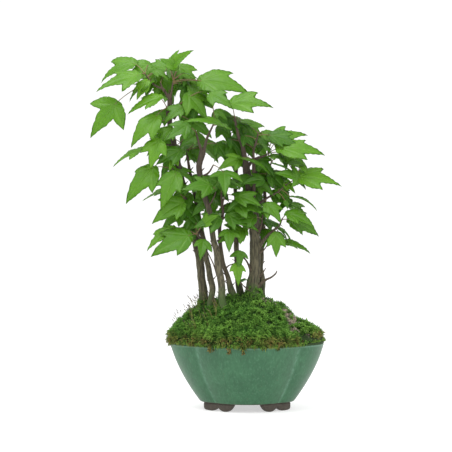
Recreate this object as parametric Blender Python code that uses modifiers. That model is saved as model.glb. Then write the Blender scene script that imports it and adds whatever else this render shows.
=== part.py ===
"""A trident maple bonsai group in a glazed four-lobed pot, in metres, +Z up, standing on Z = 0.

The crown leans to -X, so the pot stands a little to +X and the whole tree's box is centred on the origin.
"""

import math

import bmesh
import bpy
from mathutils import Matrix, Vector

MM = 0.001

# Pot: a quatrefoil tray whose four lobes meet at four creases.
POT_WIDTH = 0.120
POT_DEPTH = 0.104
FOOT_HEIGHT = 0.006
POT_BODY_HEIGHT = 0.045
POT_WALL = 0.0045
POT_FLOOR = 0.0045
BASE_SHARE = 0.606  # base width as a share of rim width
WALL_SWELL = 0.48  # 0 gives straight walls, more gives rounder ones
CREASE_ACROSS = 0.65  # a crease's place, as a share of the half width
CREASE_DEEP = 0.635  # and as a share of the half depth
LOBE_STEPS = 9
WALL_STEPS = 6

# Feet, drain holes and the screens over them.
FOOT_SETBACK = 0.0008
FOOT_THICKNESS = 0.0062
FOOT_EDGE = 0.0010
FOOT_SHOULDER = 0.3  # height of the edge's top, as a share of the foot there
FOOT_ARCH = 0.0012
FOOT_ARCH_END = 0.2  # where along a wing the arch ends
FOOT_CURL = 0.75  # how high a wing's end curls up, as a share of the foot
FOOT_CURL_START = 0.62
FOOT_STEPS = 8
FRONT_WING = 0.0155  # along the outline, from the crease
SIDE_WING = 0.0185
DRAIN_HOLE_WIDTH = 0.011
DRAIN_HOLE_SPACING = 0.030
SCREEN_MARGIN = 0.003
SCREEN_CELLS = 4
SCREEN_WIRE = 0.0010

# Soil and moss.
FIT_GAP = 0.0003
MOUND_RISE = 0.037
MOSS_THICKNESS = 0.0045
MOSS_EDGE = 0.0030
ROOT_DEPTH = 0.009
MOUND_RINGS = (0.97, 0.9, 0.78, 0.64, 0.48, 0.32, 0.16, 0.05)

# Leaves.
LEAF_THICKNESS = 0.0006
PETIOLE_RADIUS = 0.0005
PETIOLE_BOW = 0.06  # how far it bows up, as a share of its length
LEAF_ARCH = 0.07  # a blade's rise midway to its tip, as a share of its length
LEAF_FOLD = 0.24  # how steeply its halves rise from the middle
LEAF_SIDE_DROOP = 0.40  # and how they curve down again towards the side lobes
# One half of the blade's edge, seen from the petiole: an angle, as a share of the side lobe's own and
# the degrees added to it, and a reach, as a share of the middle lobe's.
LEAF_EDGE = (
    (0.0, 0, 1.0), (0.28, 0, 0.66), (0.56, 0, 0.47), (1.0, 0, 0.66), (1.3, 0, 0.46), (0.6, 45, 0.34),
    (0.0, 118, 0.16),
)

STAND_OFFSET = (0.025, 0.0, 0.0)

RIM_HEIGHT = FOOT_HEIGHT + POT_BODY_HEIGHT

# Every trunk and twig is a list of (x, y, height above the rim, radius), in millimetres from the pot's centre.
# A trunk's first point gives only where it leaves the ground: its root end goes down into the soil from there.
TRUNKS = {
    "tree_tall_left": [
        (-33, 3, 27, 4.0), (-34, 2, 36, 3.4), (-35, 2, 46, 3.1), (-37, 2, 66, 3.0), (-39, 2, 76, 2.8),
        (-42, 2, 94, 2.5), (-46, 2, 111, 2.3), (-52, 0, 131, 2.2), (-56, 0, 151, 2.1), (-60, -1, 170, 2.0),
        (-60, -1, 192, 1.9),
    ],
    "tree_slim_left": [
        (-27, -7, 26, 3.4), (-28, -7, 36, 2.8), (-28, -6, 46, 2.6), (-31, -4, 66, 2.2), (-35, -1, 86, 1.9),
        (-40, 4, 111, 1.6), (-44, 7, 130, 1.3), (-47, 8, 148, 0.8),
    ],
    "tree_front": [
        (-19, -19, 24, 4.0), (-20, -19, 36, 3.0), (-20, -18, 46, 2.9), (-23, -16, 66, 2.5),
        (-27, -13, 86, 2.1), (-30, -11, 104, 2.2), (-36, -8, 126, 2.1), (-37, -8, 136, 2.3),
        (-34, -8, 149, 2.4),
    ],
    "tree_sapling": [
        (-11, -6, 32, 3.2), (-14, -6, 48, 2.0), (-19, -6, 64, 1.6), (-21, -6, 86, 1.4), (-19, -7, 104, 1.0),
        (-20, -8, 116, 0.8),
    ],
    "tree_behind": [
        (-5, 13, 34, 3.0), (-7, 13, 52, 2.3), (-8, 14, 74, 2.0), (-9, 15, 105, 1.6), (-8, 18, 135, 1.2),
        (-6, 18, 150, 0.8),
    ],
    "tree_main_right": [
        (5, -2, 34, 6.8), (5, -2, 46, 4.9), (6, -2, 56, 4.5), (6, -2, 86, 4.2), (6, -2, 94, 4.1),
        (3, -1, 111, 4.0), (0, -1, 134, 3.8), (-3, -1, 149, 2.6), (-7, -1, 160, 1.7), (-10, -1, 173, 0.9),
    ],
    "tree_slim_right": [
        (12, 13, 32, 3.0), (11, 13, 60, 2.2), (12, 14, 80, 1.9), (14, 16, 110, 1.4), (16, 20, 138, 0.8),
    ],
}
TWIGS = {
    "tree_tall_left": {
        "crown_left": [
            (-60, -1, 190, 1.8), (-65, -2, 196, 1.4), (-71, -3, 199, 1.1), (-75, -3, 203, 0.9),
            (-79, -4, 208, 0.7),
        ],
        "crown_right": [(-60, -1, 187, 1.5), (-58, -4, 197, 1.2), (-57, -5, 203, 0.8)],
        "upper_left": [(-60, -1, 172, 1.4), (-62, -5, 179, 1.0), (-62, -8, 182, 0.7)],
        "middle_left": [(-56, 0, 150, 1.3), (-60, -5, 153, 1.0), (-65, -9, 152, 0.7)],
        "lower_left": [(-51, 0, 128, 1.3), (-56, -5, 133, 1.0), (-60, -8, 135, 0.7)],
        "lowest_left": [(-46, 2, 110, 1.2), (-48, -4, 112, 0.9), (-49, -9, 112, 0.7)],
        "rear_left": [(-54, 0, 143, 1.3), (-52, 12, 152, 1.0), (-52, 20, 156, 0.7)],
    },
    "tree_slim_left": {
        "slim_low": [(-34, -2, 78, 1.2), (-37, -9, 82, 0.9), (-39, -12, 84, 0.7)],
        "slim_top": [(-44, 7, 130, 1.2), (-46, 10, 140, 1.0), (-46, 12, 150, 0.7)],
    },
    "tree_front": {
        "fork_left": [(-34, -8, 146, 1.6), (-37, -11, 153, 1.2), (-39, -12, 162, 0.8)],
        "fork_right": [(-34, -8, 146, 1.7), (-31, -11, 157, 1.3), (-28, -12, 164, 1.0), (-25, -13, 171, 0.7)],
        "front_spray": [(-36, -8, 128, 1.2), (-30, -14, 131, 0.9), (-26, -18, 137, 0.7)],
    },
    "tree_sapling": {
        "sapling_right": [(-21, -6, 84, 1.1), (-17, -10, 86, 0.7)],
        "sapling_top": [(-19, -7, 104, 0.9), (-18, -9, 112, 0.8), (-16, -10, 116, 0.6)],
    },
    "tree_behind": {
        "behind_top": [(-8, 18, 135, 1.1), (-8, 20, 146, 0.9), (-6, 23, 155, 0.7)],
    },
    "tree_main_right": {
        "low_right": [
            (8, -3, 74, 1.8), (15, -6, 82, 1.4), (20, -8, 87, 1.1), (25, -8, 91, 0.9), (27, -8, 96, 0.7),
        ],
        "middle_right": [(4, -2, 104, 1.6), (14, -5, 111, 1.1), (24, -8, 117, 0.7)],
        "high_right": [(0, -1, 136, 1.6), (6, -4, 142, 1.3), (12, -6, 144, 1.0), (16, -7, 146, 0.7)],
        "young_shoot": [(3, -4, 56, 1.0), (-1, -8, 64, 0.8), (-5, -9, 68, 0.6)],
        "dead_twig": [(9, -3, 44, 1.2), (15, -5, 49, 1.0), (19, -6, 51, 0.9), (23, -6, 55, 0.6)],
        "rear_right": [(1, 0, 124, 1.4), (8, 10, 133, 1.0), (10, 18, 138, 0.7)],
    },
    "tree_slim_right": {
        "slim_right_top": [(15, 18, 124, 1.1), (18, 24, 134, 0.9), (20, 27, 142, 0.7)],
    },
}

# Which way the upper side of a blade looks.
FRONT = (0.1, -0.8, 0.6)
UP = (0.0, -0.35, 0.94)
LEFT = (-0.45, -0.6, 0.66)
RIGHT = (0.45, -0.6, 0.66)
REAR = (0.0, 0.65, 0.76)
# Every leaf is (twig, point of the twig it grows from, blade's petiole end, blade's tip, upper side,
# side lobe's angle in degrees), with the ends as (x, y, height above the rim) in millimetres.
LEAVES = [
    ("crown_left", 4, (-88, 6, 217), (-114, 11, 202), LEFT, 38),
    ("crown_left", 3, (-84, -12, 206), (-116, -15, 193), LEFT, 38),
    ("crown_left", 3, (-102, -8, 184), (-121, -6, 158), FRONT, 58),
    ("crown_left", 3, (-62, 8, 214), (-84, 13, 215), LEFT, 34),
    ("crown_right", 2, (-59, -5, 214), (-41, -16, 226), FRONT, 50),
    ("crown_right", 2, (-35, -8, 202), (2, -9, 192), FRONT, 34),
    ("crown_right", 2, (-44, 8, 202), (-52, 14, 184), REAR, 44),
    ("crown_right", 1, (-45, -8, 191), (-30, -10, 171), FRONT, 44),
    ("upper_left", 2, (-67, -13, 189), (-92, -16, 176), LEFT, 38),
    ("upper_left", 2, (-70, -18, 174), (-89, -21, 150), FRONT, 34),
    ("middle_left", 2, (-80, -9, 149), (-104, -7, 136), UP, 38),
    ("middle_left", 2, (-68, -20, 155), (-74, -25, 133), FRONT, 42),
    ("middle_left", 1, (-52, -13, 148), (-70, -19, 137), FRONT, 34),
    ("lower_left", 2, (-73, -12, 135), (-93, -14, 107), FRONT, 40),
    ("lower_left", 2, (-55, -17, 130), (-66, -24, 102), FRONT, 36),
    ("lower_left", 1, (-60, 2, 119), (-82, 6, 110), UP, 34),
    ("lowest_left", 2, (-50, -15, 108), (-73, -19, 92), FRONT, 40),
    ("rear_left", 2, (-60, 29, 160), (-80, 40, 146), REAR, 40),
    ("rear_left", 2, (-46, 27, 164), (-40, 44, 146), REAR, 40),
    ("slim_low", 2, (-45, -16, 83), (-74, -20, 67), FRONT, 34),
    ("slim_low", 1, (-34, -18, 79), (-36, -25, 64), FRONT, 44),
    ("slim_top", 2, (-38, 16, 156), (-22, 26, 140), REAR, 40),
    ("fork_left", 2, (-46, -21, 167), (-62, -29, 155), FRONT, 40),
    ("fork_right", 3, (-12, -19, 184), (20, -25, 180), FRONT, 30),
    ("fork_right", 3, (-28, -29, 190), (-11, -37, 178), FRONT, 40),
    ("fork_right", 2, (-16, -25, 165), (-50, -33, 168), UP, 34),
    ("front_spray", 2, (-18, -25, 131), (-17, -40, 112), UP, 62),
    ("front_spray", 1, (-29, -25, 122), (-50, -34, 117), FRONT, 44),
    ("sapling_right", 1, (-14, -17, 87), (-14, -27, 70), FRONT, 50),
    ("sapling_top", 2, (-7, -15, 113), (12, -19, 104), FRONT, 36),
    ("behind_top", 2, (3, 31, 158), (18, 43, 142), REAR, 42),
    ("behind_top", 2, (-14, 30, 156), (-26, 44, 142), REAR, 42),
    ("middle_right", 2, (39, -12, 128), (73, -10, 121), RIGHT, 32),
    ("middle_right", 1, (15, -15, 107), (26, -19, 92), FRONT, 36),
    ("high_right", 3, (25, -14, 150), (60, -14, 145), RIGHT, 30),
    ("high_right", 3, (20, 4, 158), (48, 11, 161), RIGHT, 40),
    ("low_right", 4, (31, -12, 100), (52, -15, 88), RIGHT, 36),
    ("low_right", 3, (33, -1, 95), (56, 3, 82), RIGHT, 34),
    ("low_right", 2, (22, -14, 84), (22, -17, 66), FRONT, 36),
    ("low_right", 1, (27, -4, 78), (49, -6, 69), UP, 30),
    ("young_shoot", 2, (-8, -13, 61), (-7, -17, 44), FRONT, 46),
    ("rear_right", 2, (16, 30, 132), (32, 42, 118), REAR, 42),
    ("slim_right_top", 2, (29, 30, 146), (46, 38, 134), REAR, 40),
]


def new_material(name, colour, roughness, metallic=0.0):
    material = bpy.data.materials.new(name)
    material.use_nodes = True
    shader = material.node_tree.nodes["Principled BSDF"]
    shader.inputs["Base Color"].default_value = (*colour, 1.0)
    shader.inputs["Roughness"].default_value = roughness
    shader.inputs["Metallic"].default_value = metallic
    return material


def new_collection(name):
    collection = bpy.data.collections.new(name)
    bpy.context.scene.collection.children.link(collection)
    return collection


def new_object(name, mesh, collection):
    piece = bpy.data.objects.new(name, mesh)
    collection.objects.link(piece)
    return piece


def finish_part(piece, material, sharp_angle=40):
    """Shades the part, gives it its material and stands it with the pot."""
    piece.data.shade_smooth()
    piece.data.set_sharp_from_angle(angle=math.radians(sharp_angle))
    piece.data.materials.clear()
    piece.data.materials.append(material)
    piece.parent = pot_centre


def loft(name, rings, collection):
    """A closed body through rings of equally many points, each end closed by a fan."""
    bm = bmesh.new()
    rows = [[bm.verts.new(point) for point in ring] for ring in rings]
    for lower, upper in zip(rows, rows[1:]):
        for i in range(len(lower)):
            bm.faces.new((lower[i - 1], lower[i], upper[i], upper[i - 1]))
    caps = [bm.faces.new(rows[0]), bm.faces.new(rows[-1])]
    bmesh.ops.poke(bm, faces=caps)
    bmesh.ops.recalc_face_normals(bm, faces=bm.faces)
    mesh = bpy.data.meshes.new(name)
    bm.to_mesh(mesh)
    bm.free()
    return new_object(name, mesh, collection)


def taper_tube(name, points, resolution, collection):
    """A tube through (position, radius) pairs, as a mesh with its end caps welded on."""
    curve = bpy.data.curves.new(name, "CURVE")
    curve.dimensions = "3D"
    curve.bevel_depth = 1.0
    curve.bevel_resolution = resolution
    curve.use_fill_caps = True
    spline = curve.splines.new("POLY")
    spline.points.add(len(points) - 1)
    for target, (position, radius) in zip(spline.points, points):
        target.co = (*position, 1.0)
        target.radius = radius
    guide = new_object(name + "_curve", curve, collection)
    evaluated = guide.evaluated_get(bpy.context.evaluated_depsgraph_get())
    mesh = bpy.data.meshes.new_from_object(evaluated)
    bpy.data.objects.remove(guide)
    bm = bmesh.new()
    bm.from_mesh(mesh)
    bmesh.ops.remove_doubles(bm, verts=bm.verts, dist=1e-6)
    bmesh.ops.recalc_face_normals(bm, faces=bm.faces)
    bm.to_mesh(mesh)
    bm.free()
    return new_object(name, mesh, collection)


def add_boolean(piece, operation, other):
    modifier = piece.modifiers.new(other.name, "BOOLEAN")
    modifier.operation = operation
    modifier.object = other


def fuse(body, pieces):
    """Joins the pieces to the body as one closed mesh."""
    for piece in pieces:
        add_boolean(body, "UNION", piece)
    evaluated = body.evaluated_get(bpy.context.evaluated_depsgraph_get())
    mesh = bpy.data.meshes.new_from_object(evaluated)
    body.modifiers.clear()
    body.data = mesh
    for piece in pieces:
        bpy.data.objects.remove(piece)


def cut(piece, cutters):
    for cutter in cutters:
        add_boolean(piece, "DIFFERENCE", cutter)


def as_cutter(piece):
    piece.hide_render = True
    piece.display_type = "WIRE"
    piece.parent = pot_centre
    return piece


def lobed_outline(scale):
    """The quatrefoil as 2D points, anticlockwise from a crease: four arcs, each from crease to crease."""
    half_width = POT_WIDTH / 2 * scale
    half_depth = POT_DEPTH / 2 * scale
    crease_x = CREASE_ACROSS * half_width
    crease_y = CREASE_DEEP * half_depth
    lobes = ((half_width, crease_x, crease_y), (half_depth, crease_y, crease_x)) * 2
    points = []
    for quarter, (reach, crease_reach, half_chord) in enumerate(lobes):
        bulge = reach - crease_reach
        radius = (half_chord**2 + bulge**2) / (2 * bulge)
        half_angle = math.asin(half_chord / radius)
        turn = Matrix.Rotation(quarter * math.pi / 2, 2)
        for step in range(LOBE_STEPS):
            angle = half_angle * (2 * step / LOBE_STEPS - 1)
            along = Vector((reach - radius + radius * math.cos(angle), radius * math.sin(angle)))
            points.append(turn @ along)
    return points


def inset(points, distance):
    """The outline moved inwards, each point square to the line between its neighbours."""
    moved = []
    for i, point in enumerate(points):
        along = (points[(i + 1) % len(points)] - points[i - 1]).normalized()
        moved.append(point - distance * Vector((along.y, -along.x)))
    return moved


def at_height(points, height):
    return [Vector((point.x, point.y, height)) for point in points]


def wall_scale(height):
    """How wide the pot's outside is at a height, as a share of the rim: a curve that swells outwards."""
    share = (height - FOOT_HEIGHT) / POT_BODY_HEIGHT
    return BASE_SHARE + (1 - BASE_SHARE) * share * (1 + WALL_SWELL * (1 - share))


def wall_rings(inward, bottom):
    """Rings up the pot's wall from a height to the rim, moved inwards."""
    rings = []
    for step in range(WALL_STEPS + 1):
        height = bottom + (RIM_HEIGHT - bottom) * step / WALL_STEPS
        rings.append(at_height(inset(lobed_outline(wall_scale(height)), inward), height))
    return rings


def mound_share(ring_share, angle):
    """The mound's height as a share of its rise: fuller to the sides than to the front and back."""
    power = 2.3 - 0.9 * math.sin(angle) ** 2
    return (1 - min(ring_share, 1.0) ** power) ** 0.7


def mound_rings(edge, height_at_edge, rise):
    """Rings over the mound, from its edge to near its middle."""
    rings = [at_height(edge, height_at_edge)]
    for share in MOUND_RINGS:
        ring = []
        for point in edge:
            across, deep = point.x / POT_WIDTH, point.y / POT_DEPTH
            lift = rise * mound_share(share, math.atan2(deep, across))
            ring.append(Vector((point.x * share, point.y * share, height_at_edge + lift)))
        rings.append(ring)
    return rings


def soil_height(x, y):
    across, deep = 2 * x / POT_WIDTH, 2 * y / POT_DEPTH
    rise = MOUND_RISE - MOSS_THICKNESS
    return RIM_HEIGHT + rise * mound_share(math.hypot(across, deep), math.atan2(deep, across))


def make_pot():
    floor_height = FOOT_HEIGHT + POT_FLOOR
    outside = wall_rings(0.0, FOOT_HEIGHT)
    inside = wall_rings(POT_WALL, floor_height)
    pot = loft("pot", outside + inside[::-1], parts)
    cutters = []
    for side in (-1, 1):
        bpy.ops.mesh.primitive_cylinder_add(
            vertices=24,
            radius=DRAIN_HOLE_WIDTH / 2,
            depth=3 * POT_FLOOR,
            location=(side * DRAIN_HOLE_SPACING / 2, 0, floor_height - POT_FLOOR / 2),
        )
        cutter = bpy.context.object
        cutter.name = f"drain_cutter_{'left' if side < 0 else 'right'}"
        bpy.context.collection.objects.unlink(cutter)
        cutters_collection.objects.link(cutter)
        cutters.append(as_cutter(cutter))
    cut(pot, cutters)
    finish_part(pot, glaze)


def point_along(points, start, distance):
    """The point of a closed outline at a distance from one of its corners, backwards where it is negative."""
    step = 1 if distance > 0 else -1
    left = abs(distance)
    while True:
        following = (start + step) % len(points)
        span = (points[following] - points[start]).length
        if left <= span:
            return points[start].lerp(points[following], left / span)
        left -= span
        start = following


def foot_bottom(share):
    """How far a foot's underside is off the ground along a wing: arched at the crease, curled up at the end."""
    arch = FOOT_ARCH * max(0.0, 1 - share / FOOT_ARCH_END) ** 2
    curl = FOOT_CURL * FOOT_HEIGHT * max(0.0, (share - FOOT_CURL_START) / (1 - FOOT_CURL_START)) ** 2
    return arch + curl


def make_foot(name, crease, wings):
    """A cloud foot: two wings along the base's outline, one each way from a crease."""
    outer = inset(lobed_outline(BASE_SHARE), FOOT_SETBACK)
    steps = [step / FOOT_STEPS for step in range(-FOOT_STEPS, FOOT_STEPS + 1)]
    path = [point_along(outer, crease, step * wings[step > 0]) for step in steps]
    top = FOOT_HEIGHT - FIT_GAP
    sections = []
    for i, (point, step) in enumerate(zip(path, steps)):
        along = (path[min(i + 1, len(path) - 1)] - path[max(i - 1, 0)]).normalized()
        inward = Vector((-along.y, along.x))
        bottom = foot_bottom(abs(step))
        shoulder = bottom + FOOT_SHOULDER * (top - bottom)
        profile = (
            (0.0, top),
            (0.0, shoulder),
            (FOOT_EDGE, bottom),
            (FOOT_THICKNESS - FOOT_EDGE, bottom),
            (FOOT_THICKNESS, shoulder),
            (FOOT_THICKNESS, top),
        )
        sections.append([(point + inward * depth).to_3d() + Vector((0, 0, z)) for depth, z in profile])
    foot = loft(name, sections, parts)
    finish_part(foot, bare_clay)


def make_screens():
    """A square of plastic mesh over each drain hole, resting on the pot's floor."""
    half = DRAIN_HOLE_WIDTH / 2 + SCREEN_MARGIN
    height = FOOT_HEIGHT + POT_FLOOR + FIT_GAP + SCREEN_WIRE / 2
    recesses = []
    for side, word in ((-1, "left"), (1, "right")):
        centre = Vector((side * DRAIN_HOLE_SPACING / 2, 0, height))
        bm = bmesh.new()
        bmesh.ops.create_grid(bm, x_segments=SCREEN_CELLS, y_segments=SCREEN_CELLS, size=half)
        mesh = bpy.data.meshes.new("drain_screen_" + word)
        bm.to_mesh(mesh)
        bm.free()
        screen = new_object("drain_screen_" + word, mesh, parts)
        wires = screen.modifiers.new("wires", "WIREFRAME")
        wires.thickness = SCREEN_WIRE
        wires.use_even_offset = False
        wires.use_boundary = True
        screen.location = centre
        finish_part(screen, screen_plastic)
        bpy.ops.mesh.primitive_cube_add(size=1, location=centre)
        recess = bpy.context.object
        recess.name = "screen_recess_" + word
        width = 2 * (half + SCREEN_WIRE + FIT_GAP)
        recess.data.transform(Matrix.Diagonal((width, width, SCREEN_WIRE + 2 * FIT_GAP, 1)))
        bpy.context.collection.objects.unlink(recess)
        cutters_collection.objects.link(recess)
        recesses.append(as_cutter(recess))
    return recesses


def make_soil(cutters):
    bottom = FOOT_HEIGHT + POT_FLOOR + FIT_GAP
    sides = wall_rings(POT_WALL + FIT_GAP, bottom)
    edge = inset(lobed_outline(1.0), POT_WALL + FIT_GAP)
    top = mound_rings(edge, RIM_HEIGHT, MOUND_RISE - MOSS_THICKNESS)
    soil = loft("soil", sides[:-1] + top, parts)
    cut(soil, cutters)
    finish_part(soil, akadama)


def make_moss(cutters):
    """The moss carpet: an outer mound over a lower one, joined where they meet on the pot's rim."""
    lower_edge = inset(lobed_outline(1.0), POT_WALL)
    under = mound_rings(lower_edge, RIM_HEIGHT + FIT_GAP, MOUND_RISE - MOSS_THICKNESS)
    brim = at_height(lobed_outline(1.0), RIM_HEIGHT + FIT_GAP)
    over = mound_rings(lobed_outline(1.01), RIM_HEIGHT + FIT_GAP + MOSS_EDGE, MOUND_RISE)
    moss = loft("moss", under[::-1] + [brim] + over, parts)
    cut(moss, cutters)
    finish_part(moss, moss_green)


def placed(point):
    """A table row's place in metres, and its radius."""
    return Vector((point[0], point[1], point[2])) * MM + Vector((0, 0, RIM_HEIGHT)), point[3] * MM


def trunk_path(name):
    """The trunk from its root end in the soil to its tip."""
    points = [placed(point) for point in TRUNKS[name]]
    ground, radius = points[0]
    root = Vector((ground.x, ground.y, soil_height(ground.x, ground.y) - ROOT_DEPTH))
    return [(root, 0.8 * radius), *points]


def make_tree(name):
    tree = taper_tube(name, trunk_path(name), 2, parts)
    twigs = [
        taper_tube(twig, [placed(point) for point in points], 1, parts)
        for twig, points in TWIGS[name].items()
    ]
    fuse(tree, twigs)
    finish_part(tree, bark)


def make_clearance(name, path):
    """What the lower end of a trunk or a low twig needs cut from the soil and the moss."""
    wider = 1 / math.cos(math.pi / 8)
    grown = [(position, radius * wider + FIT_GAP) for position, radius in path]
    grown[0] = (path[0][0] - Vector((0, 0, FIT_GAP)), grown[0][1])
    return as_cutter(taper_tube("clearance_" + name, grown, 2, cutters_collection))


def leaf_edge(side_angle):
    """The blade's edge as (angle, reach) all the way round, from the petiole's right side."""
    half = [(math.radians(share * side_angle + extra), reach) for share, extra, reach in LEAF_EDGE]
    return [(-angle, reach) for angle, reach in half[:0:-1]] + half


def make_leaf(name, start, junction, tip, upper_side, side_angle):
    """A three-lobed blade with its petiole: arched to its tip, and folded a little along its middle."""
    length = (tip - junction).length
    forward = (tip - junction).normalized()
    normal = Vector(upper_side)
    normal = (normal - normal.dot(forward) * forward).normalized()
    edge = leaf_edge(side_angle)
    bm = bmesh.new()
    bmesh.ops.create_circle(bm, cap_ends=True, cap_tris=True, segments=len(edge), radius=1)
    rim = sorted((v for v in bm.verts if v.co.length > 0.5), key=lambda v: math.atan2(v.co.y, v.co.x))
    for vertex, (angle, reach) in zip(rim, edge):
        along, side = reach * math.cos(angle), reach * math.sin(angle)
        rise = 4 * LEAF_ARCH * along * (1 - along) + LEAF_FOLD * abs(side) - LEAF_SIDE_DROOP * side**2
        vertex.co = Vector((along, side, rise)) * length
    bmesh.ops.recalc_face_normals(bm, faces=bm.faces)
    mesh = bpy.data.meshes.new(name)
    bm.to_mesh(mesh)
    bm.free()
    blade = new_object(name, mesh, parts)
    blade.matrix_basis = Matrix.Translation(junction) @ Matrix(
        (forward, normal.cross(forward), normal)
    ).transposed().to_4x4()
    shell = blade.modifiers.new("thickness", "SOLIDIFY")
    shell.thickness = LEAF_THICKNESS
    shell.offset = 0.0
    inside = junction + forward * 2 * PETIOLE_RADIUS - normal * LEAF_THICKNESS / 3
    petiole = taper_tube(name + "_petiole", petiole_path(start, junction, inside), 0, parts)
    fuse(blade, [petiole])
    finish_part(blade, leaf_green, 60)


def petiole_path(start, junction, inside):
    """From the twig to just inside the blade, bowed upwards a little."""
    bow = Vector((0, 0, PETIOLE_BOW * (junction - start).length))
    points = [start, start.lerp(junction, 0.35) + bow, start.lerp(junction, 0.7) + bow, inside]
    return [(point, PETIOLE_RADIUS) for point in points]


def petiole_start(twig, index, junction):
    """Beside a point of the twig, towards the blade, clear of the bark."""
    position, radius = placed(twig[index])
    clear = radius / math.cos(math.pi / 6) + FIT_GAP + PETIOLE_RADIUS
    return position + (junction - position).normalized() * clear


for old in list(bpy.data.objects):
    bpy.data.objects.remove(old)

parts = new_collection("maple_bonsai")
cutters_collection = new_collection("cutters")

glaze = new_material("celadon_glaze", (0.075, 0.235, 0.130), 0.28)
bare_clay = new_material("bare_clay", (0.10, 0.075, 0.055), 0.75)
akadama = new_material("akadama_soil", (0.16, 0.10, 0.06), 0.95)
moss_green = new_material("moss", (0.08, 0.20, 0.02), 0.95)
bark = new_material("maple_bark", (0.13, 0.10, 0.075), 0.85)
leaf_green = new_material("maple_leaf", (0.10, 0.38, 0.03), 0.45)
screen_plastic = new_material("screen_plastic", (0.02, 0.02, 0.02), 0.5)

pot_centre = bpy.data.objects.new("pot_centre", None)
parts.objects.link(pot_centre)
pot_centre.location = STAND_OFFSET

make_pot()
# The creases are the first points of the four lobes, so a lobe's steps apart.
for number, corner in enumerate(("front_right", "back_right", "back_left", "front_left")):
    wings = (FRONT_WING, SIDE_WING) if number % 2 == 0 else (SIDE_WING, FRONT_WING)
    make_foot("foot_" + corner, number * LOBE_STEPS, wings)

clearances = [make_clearance(tree, trunk_path(tree)[:4]) for tree in TRUNKS]
make_soil(make_screens() + clearances)
low_twig = [placed(point) for point in TWIGS["tree_main_right"]["dead_twig"]]
make_moss(clearances + [make_clearance("dead_twig", low_twig)])
for tree in TRUNKS:
    make_tree(tree)

all_twigs = {twig: points for twigs in TWIGS.values() for twig, points in twigs.items()}
for number, (twig, index, junction, tip, upper_side, side_angle) in enumerate(LEAVES, 1):
    blade_start = placed((*junction, 0))[0]
    blade_tip = placed((*tip, 0))[0]
    start = petiole_start(all_twigs[twig], index, blade_start)
    make_leaf(f"leaf_{number:02d}", start, blade_start, blade_tip, upper_side, side_angle)
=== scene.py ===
"""Looks of the trident maple bonsai group, in metres, in the CAD frame.

The pieces are the pot and its feet, the soil, the moss, the trunks with their twigs, and the leaves."""

import math

import bpy
import numpy as np
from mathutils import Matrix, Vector


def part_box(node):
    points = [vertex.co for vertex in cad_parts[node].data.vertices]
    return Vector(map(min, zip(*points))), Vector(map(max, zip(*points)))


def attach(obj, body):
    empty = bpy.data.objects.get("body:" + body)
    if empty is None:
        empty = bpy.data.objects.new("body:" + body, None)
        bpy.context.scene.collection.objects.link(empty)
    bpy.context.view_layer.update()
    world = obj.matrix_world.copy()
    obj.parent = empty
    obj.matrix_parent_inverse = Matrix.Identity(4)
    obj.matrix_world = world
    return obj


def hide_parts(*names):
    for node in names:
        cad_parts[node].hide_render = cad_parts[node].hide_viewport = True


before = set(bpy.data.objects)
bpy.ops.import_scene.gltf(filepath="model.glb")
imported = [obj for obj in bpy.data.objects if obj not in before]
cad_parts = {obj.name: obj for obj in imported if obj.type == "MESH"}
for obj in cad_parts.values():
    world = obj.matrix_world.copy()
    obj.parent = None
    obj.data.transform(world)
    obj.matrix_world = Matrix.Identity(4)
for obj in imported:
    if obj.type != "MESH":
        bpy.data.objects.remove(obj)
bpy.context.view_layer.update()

MM = 0.001
POT_LOW, POT_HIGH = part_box("pot")
POT_X = (POT_LOW.x + POT_HIGH.x) / 2
RIM = POT_HIGH.z
BASE = POT_LOW.z
HALF_WIDTH = (POT_HIGH.x - POT_LOW.x) / 2
HALF_DEPTH = (POT_HIGH.y - POT_LOW.y) / 2

# Pot, as in the CAD source.
WALL = 0.0045
FLOOR = 0.0045
BASE_SHARE = 0.606  # the base's width over the rim's
WALL_SWELL = 0.48  # how much the wall bulges between them
CREASE_ACROSS = 0.65  # a crease's place, as a share of the half width
CREASE_DEEP = 0.635  # and of the half depth
LOBE_STEPS = 64
CREASE_SPREAD = 1.2  # how many steps the painted highlight on a crease reaches from it
UNDERSIDE_INSETS = (0.026, 0.018, 0.010, 0.005, 0.002)  # how far rings are in from the outside
FLOOR_INSETS = (0.004, 0.009, 0.015, 0.021)  # and from the inside of the wall
BARE_FLOOR_RADIUS = 0.030
LIP_ROUNDING = 0.0013
BASE_ROUNDING = 0.0010
DRAIN_HOLE_WIDTH = 0.011
DRAIN_HOLE_SPACING = 0.030
FOOT_STEPS = 57
FOOT_AROUND = 28
FOOT_SETBACK = 0.0008
FOOT_SEAT = 0.0006  # how far a foot goes up into the base
FOOT_THICKNESS = 0.0066
FOOT_ARCH = 0.0026
FOOT_ARCH_REACH = 0.34  # the arch's half width, as a share of a wing
FOOT_SQUARENESS = 0.55
FRONT_WING = 0.0155
SIDE_WING = 0.0185
FRONT_CURL = (0.45, 0.92)  # where on the wing its end starts to curl up, and how high it gets, as shares
SIDE_CURL = (0.78, 0.5)

# Mound of moss over soil.
MOUND_EDGE = 0.0015
MOUND_RISE = 0.0315
RIGHT_DROP = 0.0068
MOUND_AROUND = 240
BED_UNDERSIDE = RIM - 0.0010
SOIL_GAP = 0.0004
HOLLOW = (0.0440, -0.0270)  # a dark hole in the moss, from the pot's centre
HOLLOW_DEPTH = 0.0055
HOLLOW_RADIUS = 0.0034
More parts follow.
